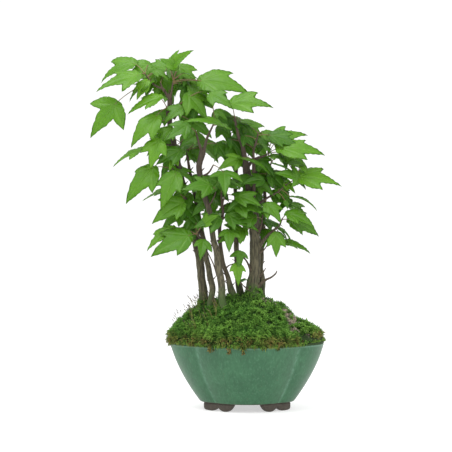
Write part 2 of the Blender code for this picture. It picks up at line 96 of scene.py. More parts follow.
# Spots of bare soil: (x, y, radius), in millimetres from the pot's centre.
BARE_SPOTS = [
    (14, -5, 3.6), (21, -6, 3.4), (28, -8, 4.6), (33, -5, 5.6), (37, 1, 5.4), (41, 5, 4.6), (35, -11, 4.4),
    (32, -17, 4.6), (34, -24, 4.4), (45, -18.5, 3.4), (-7, -7, 3.4),
]
TUFTS = 5600
FRINGE_TUFTS = 640
NEEDLES = 8  # in each tuft
NEEDLE_LENGTH = (0.0020, 0.0050)
NEEDLE_WIDTH = 0.00036
SPLAY = 0.85  # how far a tuft's needles lean out
SPORE_STALKS = 84
STALK_RADIUS = 0.00008
GRAINS_TRIED = 4200
GRAIN_SIZES = (0.0004, 0.0012)

# Leaves.
LEAF_AROUND = 92
LEAF_RINGS = 8
LEAF_THICKNESS = 0.00032
SIDE_VEINS = 9.0  # along a rib as long as the blade
PETIOLE_RADIUS = 0.00030
PETIOLE_OVERLAP = 0.0012  # how far a petiole runs on under its blade
# How far a lobe reaches, as a share of the blade's length, at an angle from its rib in degrees.
MIDDLE_LOBE = [
    (0, 1.0), (1.2, 0.955), (2.8, 0.90), (6.2, 0.80), (10.4, 0.70), (15.2, 0.61), (20.5, 0.53), (26.0, 0.46),
    (32, 0.39), (39, 0.31), (50, 0.22), (74, 0.14), (180, 0.04),
]
SIDE_LOBE = [
    (-90, 0.06), (-52, 0.13), (-31, 0.24), (-22, 0.34), (-15, 0.43), (-9.0, 0.51), (-3.8, 0.595), (0, 0.66),
    (3.8, 0.605), (9.0, 0.54), (16, 0.465), (23.5, 0.395), (32, 0.33), (46, 0.25), (62, 0.19), (91, 0.14),
    (135, 0.10), (180, 0.03),
]
LOBE_EASE = 12
# Where a CAD leaf's side lobes are unlike each other: the sizes of its two side lobes.
UNEVEN_LEAVES = {5: (0.7, 0.9), 10: (0.62, 0.95), 14: (0.55, 0.95), 41: (0.8, 0.8)}

# Every trunk and twig: (x, y, height above the rim, radius), in millimetres from the pot's centre.
TRUNKS = {
    "tree_tall_left": [
        (-33, 3, 27, 4.4), (-34, 2, 36, 3.5), (-35, 2, 46, 3.1), (-37, 2, 66, 3.0), (-39, 2, 76, 2.8),
        (-42, 2, 94, 2.5), (-46, 2, 111, 2.3), (-52, 0, 131, 2.2), (-56, 0, 151, 2.1), (-60, -1, 170, 2.0),
        (-60, -1, 190, 1.8), (-60.5, -1, 193, 1.7),
    ],
    "tree_slim_left": [
        (-29, -12, 22, 3.0), (-28.5, -11, 31, 2.5), (-27, -8, 41, 2.4), (-28.5, -6, 52, 2.3),
        (-31.5, -4, 66, 2.1), (-35, -1, 86, 1.9), (-40, 4, 111, 1.6), (-44, 7, 130, 1.3), (-47, 8, 148, 0.8),
    ],
    "tree_front": [
        (-18, -23, 20, 3.6), (-19, -22, 32, 2.8), (-20, -19, 45, 2.8), (-23, -16, 66, 2.5),
        (-27, -13, 86, 2.1), (-30, -11, 104, 2.2), (-36, -8, 126, 2.1), (-37, -8, 136, 2.3),
        (-34, -8, 149, 2.4),
    ],
    "tree_sapling": [
        (-11, -6, 32, 3.4), (-14, -6, 48, 2.0), (-19, -6, 64, 1.6), (-21, -6, 86, 1.4), (-19, -7, 104, 1.0),
        (-20, -8, 116, 0.8),
    ],
    "tree_behind": [
        (-5, 13, 34, 3.0), (-7, 13, 52, 2.3), (-8, 14, 74, 2.0), (-9, 15, 105, 1.6), (-8, 18, 135, 1.2),
        (-6, 18, 150, 0.8),
    ],
    "tree_main_right": [
        (5, -2, 32, 7.0), (5, -2, 40, 5.2), (5, -2, 48, 4.6), (6, -2, 56, 4.3), (6, -2, 86, 3.9),
        (6, -2, 94, 3.8), (3, -1, 111, 3.4), (0, -2, 134, 2.8), (-2, -3, 142, 2.2), (-3, -5, 151, 1.6),
        (-7, -9, 161, 1.1), (-9.7, -12, 174, 0.7),
    ],
    "tree_slim_right": [
        (12, 13, 32, 3.0), (11, 13, 60, 2.2), (12, 14, 80, 1.9), (14, 16, 110, 1.4), (16, 20, 138, 0.8),
    ],
}
TWIGS = {
    "tree_tall_left": [
        [
            (-60, -1, 188, 1.6), (-65, -2, 196, 1.1), (-71, -3, 199, 0.9), (-75, -3, 203, 0.7),
            (-79, -4, 208, 0.5),
        ],
        [(-60, -1, 187, 1.3), (-58, -4, 197, 0.9), (-57, -5, 203, 0.6)],
        [(-60, -1, 172, 1.4), (-62, -5, 179, 1.0), (-62, -8, 182, 0.6)],
        [(-56, 0, 150, 1.3), (-60, -5, 153, 1.0), (-65, -9, 152, 0.6)],
        [(-51, 0, 128, 1.3), (-56, -5, 133, 1.0), (-60, -8, 135, 0.6)],
        [(-46, 2, 110, 1.2), (-48, -4, 112, 0.9), (-49, -9, 112, 0.6)],
        [(-54, 0, 143, 1.3), (-52, 12, 152, 1.0), (-52, 20, 156, 0.6)],
        [(-64, -2, 195, 1.1), (-66, -3, 198, 0.9), (-67, -3, 201, 0.7)],
        [(-57, -3, 174, 1.6), (-54, -5, 178, 1.5), (-52, -6, 184, 1.4)],
    ],
    "tree_slim_left": [
        [(-34, -2, 78, 1.2), (-37, -9, 82, 0.9), (-39, -12, 84, 0.6)],
        [(-44, 7, 130, 1.2), (-46, 10, 140, 1.0), (-46, 12, 150, 0.6)],
    ],
    "tree_front": [
        [(-34, -8, 146, 1.6), (-37, -11, 153, 1.2), (-39, -12, 162, 0.7)],
        [(-34, -8, 146, 1.8), (-31, -11, 157, 1.3), (-28, -12, 164, 1.0), (-25, -13, 171, 0.6)],
        [(-36, -8, 128, 1.2), (-30, -14, 131, 0.9), (-26, -18, 137, 0.6)],
        [(-23, -15, 53, 0.9), (-26, -17, 61, 0.6), (-30, -18, 70, 0.5), (-34, -18, 77, 0.4)],
        [(-31, -11, 104, 1.0), (-26, -14, 111, 0.7), (-24, -15, 118, 0.5)],
    ],
    "tree_sapling": [
        [(-21, -6, 84, 1.1), (-17, -10, 86, 0.6)],
        [(-19, -7, 104, 0.9), (-18, -9, 112, 0.8), (-16, -10, 116, 0.5)],
        [(-17, -7, 57, 0.8), (-14, -9, 60, 0.6), (-9, -10, 62, 0.4)],
        [(-20, -7, 95, 0.7), (-15, -9, 99, 0.6), (-9, -11, 103, 0.5), (-2, -12, 110, 0.4)],
    ],
    "tree_behind": [
        [(-8, 18, 135, 1.1), (-8, 20, 146, 0.9), (-6, 23, 155, 0.6)],
    ],
    "tree_main_right": [
        [
            (4, -3, 104, 1.7), (5.5, -6, 116, 1.5), (5.5, -8, 132, 1.4), (5.2, -9, 148, 1.1),
            (8.5, -9, 162, 0.6),
        ],
        [(8, -3, 73, 2.2), (15, -6, 82, 1.5), (20, -8, 87, 1.2), (25, -8, 91, 0.9), (27, -8, 96, 0.6)],
        [(4, -2, 104, 1.6), (14, -5, 111, 1.1), (24, -8, 117, 0.7), (30, -10, 122, 0.5), (38, -12, 127, 0.4)],
        [(0, -1, 136, 1.6), (6, -4, 142, 1.3), (12, -6, 144, 1.0), (16, -7, 146, 0.6)],
        [(3, -4, 56, 1.0), (-1, -8, 64, 0.8), (-5, -9, 68, 0.5)],
        [(8, -3, 43, 1.6), (15, -5, 49, 1.1), (19, -6, 51, 0.9), (22, -6, 54, 0.7), (23, -6, 56, 0.5)],
        [(1, 0, 124, 1.4), (8, 10, 133, 1.0), (10, 18, 138, 0.6)],
        [(5, -5, 108, 1.2), (5, -7, 113, 1.3), (5, -8, 125, 1.2), (4.5, -8, 138, 0.9), (5, -8, 150, 0.6)],
        [(9, -4, 51, 0.9), (12, -5, 54, 0.6), (14.5, -5, 58, 0.4)],
        [(9, -4, 69, 0.9), (13, -5, 72, 0.6), (16, -5, 77, 0.4)],
        [(2, -5, 40, 0.8), (-1, -7, 43, 0.6), (-4, -8, 46, 0.4)],
        [(9, -4, 85, 1.3), (11, -5, 92, 1.0), (12, -5, 99, 0.7)],
    ],
    "tree_slim_right": [
        [(15, 18, 124, 1.1), (18, 24, 134, 0.9), (20, 27, 142, 0.6)],
    ],
}

# Which way the upper side of a blade looks.
FRONT = (0.1, -0.8, 0.6)
UP = (0.0, -0.35, 0.94)
FLAT = (0.0, -0.05, 1.0)
LEFT = (-0.45, -0.6, 0.66)
RIGHT = (0.45, -0.6, 0.66)
REAR = (0.0, 0.65, 0.76)
# The CAD leaves in their order: (petiole end of the blade, tip, upper side, side lobe's angle, tint). The
# points are (x, y, height above the rim) in millimetres. The tint goes from 0, deep green, to 1, young
# yellow green.
LEAVES = [
    ((-88, 6, 217), (-114, 11, 202), LEFT, 38, 0.5), ((-84, -12, 206), (-116, -15, 193), LEFT, 38, 0.7),
    ((-102, -8, 184), (-121, -6, 158), FRONT, 58, 0.6), ((-62, 8, 214), (-84, 13, 215), LEFT, 34, 0.5),
    ((-59, -5, 213), (-41, -16, 225), FRONT, 38, 0.6), ((-35, -8, 202), (2, -9, 192), FRONT, 34, 0.6),
    ((-44, 8, 202), (-52, 14, 184), REAR, 44, 0.4), ((-45, -8, 191), (-30, -10, 171), FRONT, 44, 0.5),
    ((-67, -13, 189), (-92, -16, 176), LEFT, 38, 0.7), ((-70, -18, 174), (-89, -21, 150), FRONT, 34, 0.6),
    ((-80, -9, 149), (-104, -7, 136), UP, 38, 0.8), ((-68, -20, 155), (-74, -25, 133), FRONT, 42, 0.7),
    ((-52, -13, 148), (-70, -19, 137), FRONT, 34, 0.3), ((-73, -12, 135), (-93, -14, 107), FRONT, 40, 0.6),
    ((-55, -17, 130), (-66, -24, 102), FRONT, 36, 0.5), ((-60, 2, 119), (-82, 6, 110), UP, 34, 0.9),
    ((-50, -15, 108), (-73, -19, 92), FRONT, 40, 0.5), ((-60, 29, 160), (-80, 40, 146), REAR, 40, 0.4),
    ((-46, 27, 164), (-40, 44, 146), REAR, 40, 0.4), ((-45, -16, 83), (-74, -20, 67), FRONT, 34, 0.5),
    ((-34, -18, 79), (-36, -25, 64), FRONT, 44, 0.4), ((-38, 16, 156), (-22, 26, 140), REAR, 40, 0.4),
    ((-46, -21, 167), (-62, -29, 155), FRONT, 40, 0.3), ((-12, -19, 184), (20, -25, 180), FRONT, 30, 0.7),
    ((-28, -29, 190), (-11, -37, 178), FRONT, 40, 0.4), ((-16, -25, 165), (-50, -33, 168), UP, 34, 0.6),
    ((-18, -25, 131), (-17, -40, 112), UP, 62, 0.3), ((-29, -25, 122), (-50, -34, 117), FRONT, 44, 0.3),
    ((-14, -17, 87), (-14, -27, 70), FRONT, 50, 0.4), ((-7, -15, 113), (12, -19, 104), FRONT, 36, 0.3),
    ((3, 31, 158), (18, 43, 142), REAR, 42, 0.4), ((-14, 30, 156), (-26, 44, 142), REAR, 42, 0.4),
    ((39, -12, 128), (73, -10, 121), RIGHT, 32, 0.7), ((15, -15, 107), (26, -19, 92), FRONT, 36, 0.4),
    ((25, -14, 150), (60, -14, 145), RIGHT, 30, 0.7), ((20, 4, 158), (48, 11, 161), RIGHT, 40, 0.6),
    ((31, -12, 100), (52, -15, 88), RIGHT, 36, 0.5), ((33, -1, 95), (56, 3, 82), RIGHT, 34, 0.4),
    ((22, -14, 84), (22, -17, 66), FRONT, 36, 0.6), ((27, -4, 78), (49, -6, 69), UP, 30, 0.5),
    ((-8, -13, 61), (-7, -17, 44), FRONT, 46, 1.0), ((16, 30, 132), (32, 42, 118), REAR, 42, 0.4),
    ((29, 30, 146), (46, 38, 134), REAR, 40, 0.4),
]
# More leaves of the crown, in front of the CAD's and between them, in the same columns.
MORE_LEAVES = [
    ((-14, -14, 99), (9, -17, 86), FRONT, 46, 0.2), ((-7, -13, 107), (15, -17, 98), FRONT, 44, 0.4),
    ((5, -12, 97), (-17, -17, 91), FRONT, 46, 0.3), ((2, -9, 113), (-17, -13, 100), FRONT, 40, 0.2),
    ((-22, -15, 96), (-42, -19, 88), FRONT, 44, 0.25), ((-22, -12, 124), (-3, -16, 120), FRONT, 50, 0.35),
    ((-23, -12, 124), (-43, -16, 116), FRONT, 44, 0.2), ((-30, -3, 110), (-43, -8, 97), FRONT, 50, 0.2),
    ((-6, -12, 142), (-23, -16, 133), FRONT, 44, 0.7), ((-5, -12, 87), (-23, -17, 77), FRONT, 56, 0.4),
    ((12, -10, 126), (-5, -13, 122), FRONT, 40, 0.15),
    ((-54, -7, 212), (-68, -9, 219), FRONT, 24, 0.6),
    ((-49, -9, 208), (-37, -14, 202), FLAT, 30, 0.2), ((-60, 2, 211), (-51, -2, 199), FRONT, 40, 0.2),
    ((-77, -6, 202), (-85, -9, 187), FRONT, 26, 0.9), ((-56, -13, 143), (-60, -17, 132), FRONT, 40, 0.9),
    ((-57, -10, 89), (-77, -16, 71), LEFT, 28, 0.6), ((-48, -2, 106), (-33, -6, 86), FRONT, 50, 0.1),
    ((-34, -18, 91), (-21, -20, 99), FRONT, 34, 0.8), ((7, -14, 103), (21, -22, 97), FLAT, 40, 0.2),
    ((-9, 0, 106), (-12, -5, 81), FRONT, 60, 0.1), ((-5, -16, 142), (18, -20, 129), FLAT, 34, 0.4),
    ((31, -10, 139), (45, -12, 136), UP, 40, 0.7), ((41, -10, 137), (46, -12, 130), FRONT, 30, 0.9),
    ((17, -10, 144), (31, -14, 138), UP, 40, 0.4), ((-5, -10, 171), (14, -12, 166), UP, 40, 0.8),
    # The second leaf on the next line is deep green (tint 0.1) and is partly painted shade: a real lobe, dark
    # to stand in for a shadow on the leaf behind.
    ((-24, -12, 179), (-15, -15, 171), FRONT, 40, 0.5), ((18, -8, 160), (40, -12, 150), FRONT, 30, 0.1),
    ((39, -14, 127), (20, -20, 131), FRONT, 60, 0.4), ((20, -14, 138), (37, -18, 130), FLAT, 36, 0.2),
    ((24, -4, 119), (34, -6, 107), FRONT, 44, 0.2), ((29, -8, 123), (37, -10, 115), FRONT, 36, 0.9),
    ((33, -10, 113), (54, -12, 102), FLAT, 14, 0.3), ((29, -9, 110), (31, -10, 103), FRONT, 24, 0.3),
    ((9, -6, 158), (17, -8, 146), UP, 30, 0.2), ((12, -10, 153), (20, -12, 142), FLAT, 36, 0.2),
    ((-5, -11, 70), (-7, -14, 57), FRONT, 60, 0.3), ((25, -10, 89), (34, -12, 77), FLAT, 22, 0.3),
    ((24, -8, 86), (32, -9, 76), FLAT, 20, 0.3), ((-6, -10, 48), (2, -12, 49), UP, 30, 0.1),
    ((-38, -2, 191), (-42, -6, 169), FRONT, 60, 0.2), ((-35, -10, 194), (-13, -13, 182), FLAT, 30, 0.2),
    ((-2, -10, 88), (-3, -12, 78), FRONT, 30, 0.4), ((-20, -16, 122), (-6, -20, 118), FRONT, 50, 0.2),
    ((2, -8, 128), (-8, -12, 118), FRONT, 50, 0.2), ((-2, -6, 160), (8, -9, 148), FRONT, 50, 0.1),
    ((-50, -8, 182), (-64, -14, 168), FRONT, 40, 0.4), ((-58, -12, 165), (-68, -18, 150), FRONT, 40, 0.4),
    ((-46, -6, 120), (-58, -10, 112), FRONT, 40, 0.3), ((10, -4, 122), (22, -8, 112), FRONT, 46, 0.2),
    ((-40, -8, 160), (-52, -14, 150), FRONT, 44, 0.2), ((-72, -2, 210), (-60, -6, 202), UP, 36, 0.5),
    ((-70, 4, 211), (-79, 2, 190), FRONT, 44, 0.5), ((-66, 6, 206), (-57, 4, 184), FRONT, 44, 0.4),
    ((-53, 4, 214), (-38, 2, 198), FRONT, 40, 0.5), ((-77, 6, 216), (-94, 8, 203), FRONT, 44, 0.5),
    ((-60, 5, 197), (-76, 4, 182), FRONT, 40, 0.3), ((-44, 4, 200), (-28, 2, 186), FRONT, 44, 0.5),
    ((-30, -4, 201), (-15, -6, 188), FRONT, 40, 0.4), ((-48, 6, 182), (-34, 4, 165), FRONT, 44, 0.2),
    ((-62, 4, 178), (-78, 2, 163), FRONT, 40, 0.3), ((-60, 6, 162), (-74, 4, 147), FRONT, 40, 0.3),
    ((-56, 6, 147), (-67, 4, 128), FRONT, 44, 0.2), ((-44, -2, 172), (-27, -4, 158), FRONT, 44, 0.2),
    ((-1, 2, 168), (15, 0, 153), FRONT, 44, 0.5), ((12, 2, 162), (28, 0, 149), FRONT, 40, 0.6),
    ((24, 2, 157), (38, 0, 142), FRONT, 44, 0.5), ((30, 0, 147), (47, -2, 135), FRONT, 40, 0.5),
    ((8, 0, 142), (22, -2, 127), FRONT, 44, 0.1), ((-12, 2, 154), (-2, 0, 134), FRONT, 50, 0.1),
    ((18, 0, 130), (32, -2, 115), FRONT, 44, 0.2), ((0, 0, 120), (14, -2, 105), FRONT, 44, 0.1),
    ((-27, 2, 126), (-14, 0, 109), FRONT, 50, 0.1), ((-41, 0, 128), (-29, 0, 111), FRONT, 44, 0.1),
    ((-44, 0, 114), (-58, -2, 100), FRONT, 40, 0.2), ((-51, -2, 102), (-66, -6, 88), FRONT, 40, 0.3),
    ((-40, -2, 98), (-51, -6, 81), FRONT, 44, 0.2), ((20, 2, 116), (36, 0, 104), FRONT, 40, 0.2),
    ((-24, -2, 178), (-13, -4, 160), FRONT, 44, 0.1), ((-13, 0, 174), (-3, -2, 157), FRONT, 50, 0.05),
    ((-20, 4, 168), (-12, 2, 150), FRONT, 50, 0.1), ((-6, 2, 158), (6, 0, 141), FRONT, 44, 0.05),
    ((-23, 4, 154), (-14, 2, 138), FRONT, 44, 0.1), ((-9, 4, 170), (5, 2, 156), FRONT, 40, 0.1),
]
# The crown's sides at a height above the rim, in millimetres, within which its inner leaves stay.
CROWN_SIDES = [
    (84, -44, 18), (100, -52, 30), (120, -58, 38), (140, -64, 34), (160, -66, 24), (180, -72, -4),
    (200, -78, -30), (210, -72, -48),
]
INNER_LEAVES = 46
INNER_LEAF_DEPTHS = (-4, 32)
INNER_LEAF_LENGTHS = (15, 25)
LOWEST_TIP = 66
TWIG_REACH = 0.022
# Gaps that show the sky through the crown: (x, height above the rim, radius), in millimetres.
SKY_GAPS = [(-29, 145, 6), (-52, 100, 4), (-19, 96, 3), (20, 100, 3), (-13, 70, 14)]
GAP_CLEARANCE = 7

# Bark: a ring's points and the distance between rings, in millimetres.
TRUNK_AROUND = 30
TRUNK_SPACING = 1.0
TWIG_AROUND = 14
TWIG_SPACING = 0.7
STUB_AROUND = 8
STUB_SPACING = 0.6
STUBS_PER_TRUNK = 9
ROOT_DEPTH = 8  # how far a trunk goes on down into the soil
BEND_LENGTH = 26
BEND_WIDTH = 0.35
RIDGE_WANDER_LENGTH = 18
KNOT_SPACING = 7
RIDGES = ((2, 0.04), (3, 0.04), (5, 0.025), (8, 0.018), (11, 0.014))  # (how many round the bark, their depth)
PHASES = 6.3  # random phases go up to about a full turn

# Lights as (name, place, diameter, power), and the camera.
LIGHTS = [("top_light", (-0.25, -0.35, 1.1), 0.8, 9.0), ("front_light", (0.5, -1.0, 0.7), 0.8, 3.0)]
CAMERA_PLACE = (POT_X - 0.0163, -1.2, 0.1414)
CAMERA_LENS = 123.3


# ---- small tools ----


def unit(vectors):
    """The vectors at length one."""
    return vectors / np.maximum(np.linalg.norm(vectors, axis=-1, keepdims=True), 1e-12)


def smooth_step(values, low, high):
    """0 on low's side and 1 on high's, with an eased slope between the two."""
    share = np.clip((values - low) / (high - low), 0, 1)
    return share * share * (3 - 2 * share)


def turn_angles(count):
    """Equal angles all the way round."""
    return np.arange(count) * 2 * math.pi / count


def from_hollow(x, y):
    """How far places on the mound are from the hole in the moss."""
    return np.hypot(x - HOLLOW[0], y - HOLLOW[1])


def placed(points):
    """Points in millimetres from the pot's centre and above its rim, as metres in the frame."""
    return np.asarray(points, float)[..., :3] * MM + (POT_X, 0, RIM)


def ripples(points, size, seed, waves=7):
    """A smooth noise of about -1 to 1: the sum of sine waves across random directions, about size apart."""
    random = np.random.default_rng(seed)
    ways = unit(random.normal(size=(waves, points.shape[-1])))
    pitch = 2 * math.pi / size * random.uniform(0.6, 1.7, waves)
    phase = random.uniform(0, 2 * math.pi, waves)
    return np.sin(points @ (ways * pitch[:, None]).T + phase).sum(-1) / math.sqrt(waves)


def curve_through(rows, spacing):
    """Rows of numbers, their first three a place, blended along the curve through them.

    Between two rows it is the cubic that has both rows' values and, at each, the slope there."""
    rows = np.asarray(rows, float)
    along = np.concatenate([[0], np.cumsum(np.linalg.norm(np.diff(rows[:, :3], axis=0), axis=1))])
    slopes = np.gradient(rows, along, axis=0)
    at = np.linspace(0, along[-1], max(int(along[-1] / spacing), 3) + 1)
    i = np.clip(np.searchsorted(along, at, "right") - 1, 0, len(rows) - 2)
    span = (along[i + 1] - along[i])[:, None]
    u = (at[:, None] - along[i][:, None]) / span
    return (
        (2 * u**3 - 3 * u**2 + 1) * rows[i]
        + (u**3 - 2 * u**2 + u) * span * slopes[i]
        + (3 * u**2 - 2 * u**3) * rows[i + 1]
        + (u**3 - u**2) * span * slopes[i + 1]
    )


def ring_faces(rows, around):
    """Faces of a closed body made of rings, with one more point at each end."""
    ring = np.arange(around)
    following = (ring + 1) % around
    start = np.arange(rows - 1)[:, None] * around
    quads = np.stack(
        [start + ring, start + following, start + around + following, start + around + ring], -1
    ).reshape(-1, 4)
    first = np.full(around, rows * around)
    end = (rows - 1) * around
    fans = np.concatenate(
        [np.stack([first, following, ring], -1), np.stack([first + 1, end + ring, end + following], -1)]
    )
    return quads, fans


def ring_body(rings, first, last, **values):
    """A closed body through rings of points and its two end points, its faces outwards.

    Each value is one number per ring point."""
    rows, around = rings.shape[:2]
    points = np.concatenate([rings.reshape(-1, 3), [first, last]])
    quads, fans = ring_faces(rows, around)
    corners = np.concatenate([quads[:, [0, 1, 2]], quads[:, [0, 2, 3]], fans])
    a, b, c = (points[corners[:, k]] - points[0] for k in range(3))
    if np.einsum("ij,ij->i", a, np.cross(b, c)).sum() < 0:
        quads, fans = quads[:, ::-1], fans[:, ::-1]
    ends = {k: [np.mean(v[0]), np.mean(v[-1])] for k, v in values.items()}
    values = {k: np.concatenate([np.ravel(v), ends[k]]) for k, v in values.items()}
    return points, [quads, fans], values


def joined(bodies):
    """Several bodies as one, without welding them."""
    offset, points, quads, fans = 0, [], [], []
    for body_points, (body_quads, body_fans), _ in bodies:
        points.append(body_points)
        quads.append(body_quads + offset)
        fans.append(body_fans + offset)
        offset += len(body_points)
    values = {k: np.concatenate([body[2][k] for body in bodies]) for k in bodies[0][2]}
    return np.concatenate(points), [np.concatenate(quads), np.concatenate(fans)], values


def new_piece(name, body, materials, nodes=(), face_material=None, smooth=True):
    """A body as a piece of the object that rides on the frame, in place of the CAD nodes."""
    points, polygons, values = body
    mesh = bpy.data.meshes.new(name)
    corners = np.concatenate([faces.ravel() for faces in polygons])
    sizes = np.concatenate([np.full(len(faces), faces.shape[1]) for faces in polygons])
    mesh.vertices.add(len(points))
    mesh.vertices.foreach_set("co", points.astype(np.float32).ravel())
    mesh.loops.add(len(corners))
    mesh.loops.foreach_set("vertex_index", corners.astype(np.int32))
    mesh.polygons.add(len(sizes))
    mesh.polygons.foreach_set("loop_start", (np.cumsum(sizes) - sizes).astype(np.int32))
    if face_material is not None:
        mesh.polygons.foreach_set("material_index", face_material.astype(np.int32))
    mesh.update(calc_edges=True)
    mesh.validate()
    for key, numbers in values.items():
        mesh.attributes.new(key, "FLOAT", "POINT").data.foreach_set("value", numbers.astype(np.float32))
    for material in materials:
        mesh.materials.append(material)
    if smooth:
        mesh.shade_smooth()
    piece = bpy.data.objects.new(name, mesh)
    bpy.context.scene.collection.objects.link(piece)
    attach(piece, "root")
    if nodes:
        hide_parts(*nodes)
    return piece


def sweep(path, radius, around):
    """Rings of points round a path. The radius is one number per ring, or one per point of each ring."""
    along = unit(np.gradient(path, axis=0))
    least = np.abs(along).mean(0).argmin()
    side = unit(np.cross(along, np.eye(3)[least]))
    up = np.cross(along, side)
    angle = turn_angles(around)
    out = side[:, None] * np.cos(angle)[:, None] + up[:, None] * np.sin(angle)[:, None]
    radius = np.broadcast_to(np.asarray(radius).reshape(len(path), -1), (len(path), around))
    return path[:, None] + out * radius[..., None]


# ---- materials ----


def add_node(tree, kind, settings=None, **inputs):
    """A new shader node with its settings and its inputs, an underscore for a space in their names."""
    made = tree.nodes.new(kind)
    for key, value in (settings or {}).items():
        setattr(made, key, value)
    for key, value in inputs.items():
        connect(tree, value, made.inputs[key.replace("_", " ")])
    return made


def connect(tree, value, socket):
    """Links another node's output to the socket, or sets a plain number or colour on it."""
    if isinstance(value, bpy.types.NodeSocket):
        tree.links.new(value, socket)
    elif socket.type == "RGBA":
        socket.default_value = (*value, 1.0)
    else:
        socket.default_value = value


def calculate(tree, operation, first, second):
    """One sum of two values."""
    made = add_node(tree, "ShaderNodeMath", {"operation": operation})
    connect(tree, first, made.inputs[0])
    connect(tree, second, made.inputs[1])
    return made.outputs[0]


def times(tree, first, second):
    """One value times another."""
    return calculate(tree, "MULTIPLY", first, second)


def mix(tree, share, first, second):
    """The first colour where the share is 0, the second where it is 1."""
    made = add_node(tree, "ShaderNodeMix", {"data_type": "RGBA"})
    for index, value in ((0, share), (6, first), (7, second)):
        connect(tree, value, made.inputs[index])
    return made.outputs[2]


def between(tree, value, low, high):
    """0 where the value is at low or less, 1 where it is at high or more."""
    made = add_node(tree, "ShaderNodeMapRange", {"interpolation_type": "SMOOTHSTEP"}, Value=value)
    connect(tree, low, made.inputs["From Min"])
    connect(tree, high, made.inputs["From Max"])
    return made.outputs[0]


def noise(tree, coordinates, scale, detail=3.0, stretch=(1, 1, 1)):
    """Cloudy noise from 0 to 1, drawn out along an axis whose stretch is less than 1."""
    mapped = add_node(tree, "ShaderNodeMapping", Vector=coordinates, Scale=stretch)
    clouds = add_node(tree, "ShaderNodeTexNoise", Vector=mapped.outputs[0], Scale=scale, Detail=detail)
    return clouds.outputs[0]


def cells(tree, coordinates, scale):
    """How far a place is from the nearest of many scattered points."""
    made = add_node(tree, "ShaderNodeTexVoronoi", Vector=coordinates, Scale=scale)
    return made.outputs["Distance"]


def attribute(tree, name):
    """A number that the mesh carries at each vertex."""
    return add_node(tree, "ShaderNodeAttribute", {"attribute_name": name}).outputs["Fac"]


def height_in(tree, coordinates):
    """The height of a place."""
    return add_node(tree, "ShaderNodeSeparateXYZ", Vector=coordinates).outputs[2]


def new_material(name):
    """A material with its node tree, its shader and its object coordinates."""
    material = bpy.data.materials.new(name)
    material.use_nodes = True
    tree = material.node_tree
    shader = tree.nodes["Principled BSDF"]
    coordinates = tree.nodes.new("ShaderNodeTexCoord").outputs["Object"]
    return material, tree, shader, coordinates


def set_surface(tree, shader, colour, roughness):
    """The shader's colour and roughness."""
    connect(tree, colour, shader.inputs["Base Color"])
    connect(tree, roughness, shader.inputs["Roughness"])


def set_bump(tree, shader, height, distance, strength=1.0):
    """Fine relief: the height from 0 to 1 raises the surface by up to the distance."""
    bump = add_node(tree, "ShaderNodeBump", Strength=strength, Distance=distance, Height=height)
    tree.links.new(bump.outputs[0], shader.inputs["Normal"])


def make_glaze():
    """Celadon: cloudy green, thin and pale on the rim, with a painted highlight as a pale line along each
    crease, and fine specks of brown clay.
    """
    material, tree, shader, at = new_material("celadon_glaze")
    clouds = noise(tree, at, 55, 4)
    streaks = noise(tree, at, 420, 3, (1, 1, 0.5))
    fine = noise(tree, at, 900, 3, (1, 1, 0.4))
    colour = mix(tree, between(tree, clouds, 0.32, 0.68), (0.024, 0.098, 0.043), (0.036, 0.128, 0.058))
    colour = mix(tree, times(tree, between(tree, streaks, 0.35, 0.75), 0.6), colour, (0.020, 0.078, 0.034))
    colour = mix(tree, times(tree, between(tree, fine, 0.5, 0.75), 0.55), colour, (0.066, 0.178, 0.098))
    speck_size = times(tree, noise(tree, at, 70), 0.19)
    specks = calculate(tree, "LESS_THAN", cells(tree, at, 420), speck_size)
    specks = times(tree, specks, between(tree, noise(tree, at, 120), 0.45, 0.6))
    colour = mix(tree, times(tree, specks, 0.8), colour, (0.11, 0.09, 0.05))
    # painted highlight: a pale line along each crease, broken up by noise
    crease_highlight = times(tree, attribute(tree, "crease"), between(tree, noise(tree, at, 300), 0.25, 0.65))
    colour = mix(tree, times(tree, crease_highlight, 0.5), colour, (0.13, 0.27, 0.18))
    at_rim = between(tree, height_in(tree, at), RIM - 0.0022, RIM - 0.0004)
    colour = mix(tree, times(tree, at_rim, noise(tree, at, 160)), colour, (0.18, 0.32, 0.23))
    set_surface(tree, shader, colour, calculate(tree, "ADD", times(tree, clouds, 0.3), 0.26))
    connect(tree, 0.36, shader.inputs["Specular IOR Level"])
    set_bump(tree, shader, calculate(tree, "ADD", fine, streaks), 0.00012, 0.6)
    return material


def make_clay():
    """Bare brown stoneware, darker in its pores."""
    material, tree, shader, at = new_material("bare_clay")
    colour = mix(tree, noise(tree, at, 260, 4), (0.025, 0.021, 0.016), (0.085, 0.070, 0.052))
    set_surface(tree, shader, colour, 0.8)
    set_bump(tree, shader, noise(tree, at, 1200, 3), 0.0002)
    return material


def make_soil_material():
    """Granules of akadama: a cell pattern of pinkish brown grains, with painted shade darkening the gaps
    between them.
    """
    material, tree, shader, at = new_material("akadama_soil")
    grains = cells(tree, at, 620)
    colour = mix(tree, noise(tree, at, 300), (0.15, 0.095, 0.06), (0.38, 0.27, 0.20))
    # painted shade: the gaps between the grains are dark
    colour = mix(tree, between(tree, grains, 0.35, 0.75), colour, (0.03, 0.02, 0.012))
    set_surface(tree, shader, colour, 0.95)
    set_bump(tree, shader, times(tree, grains, -1.0), 0.0008)
    return material


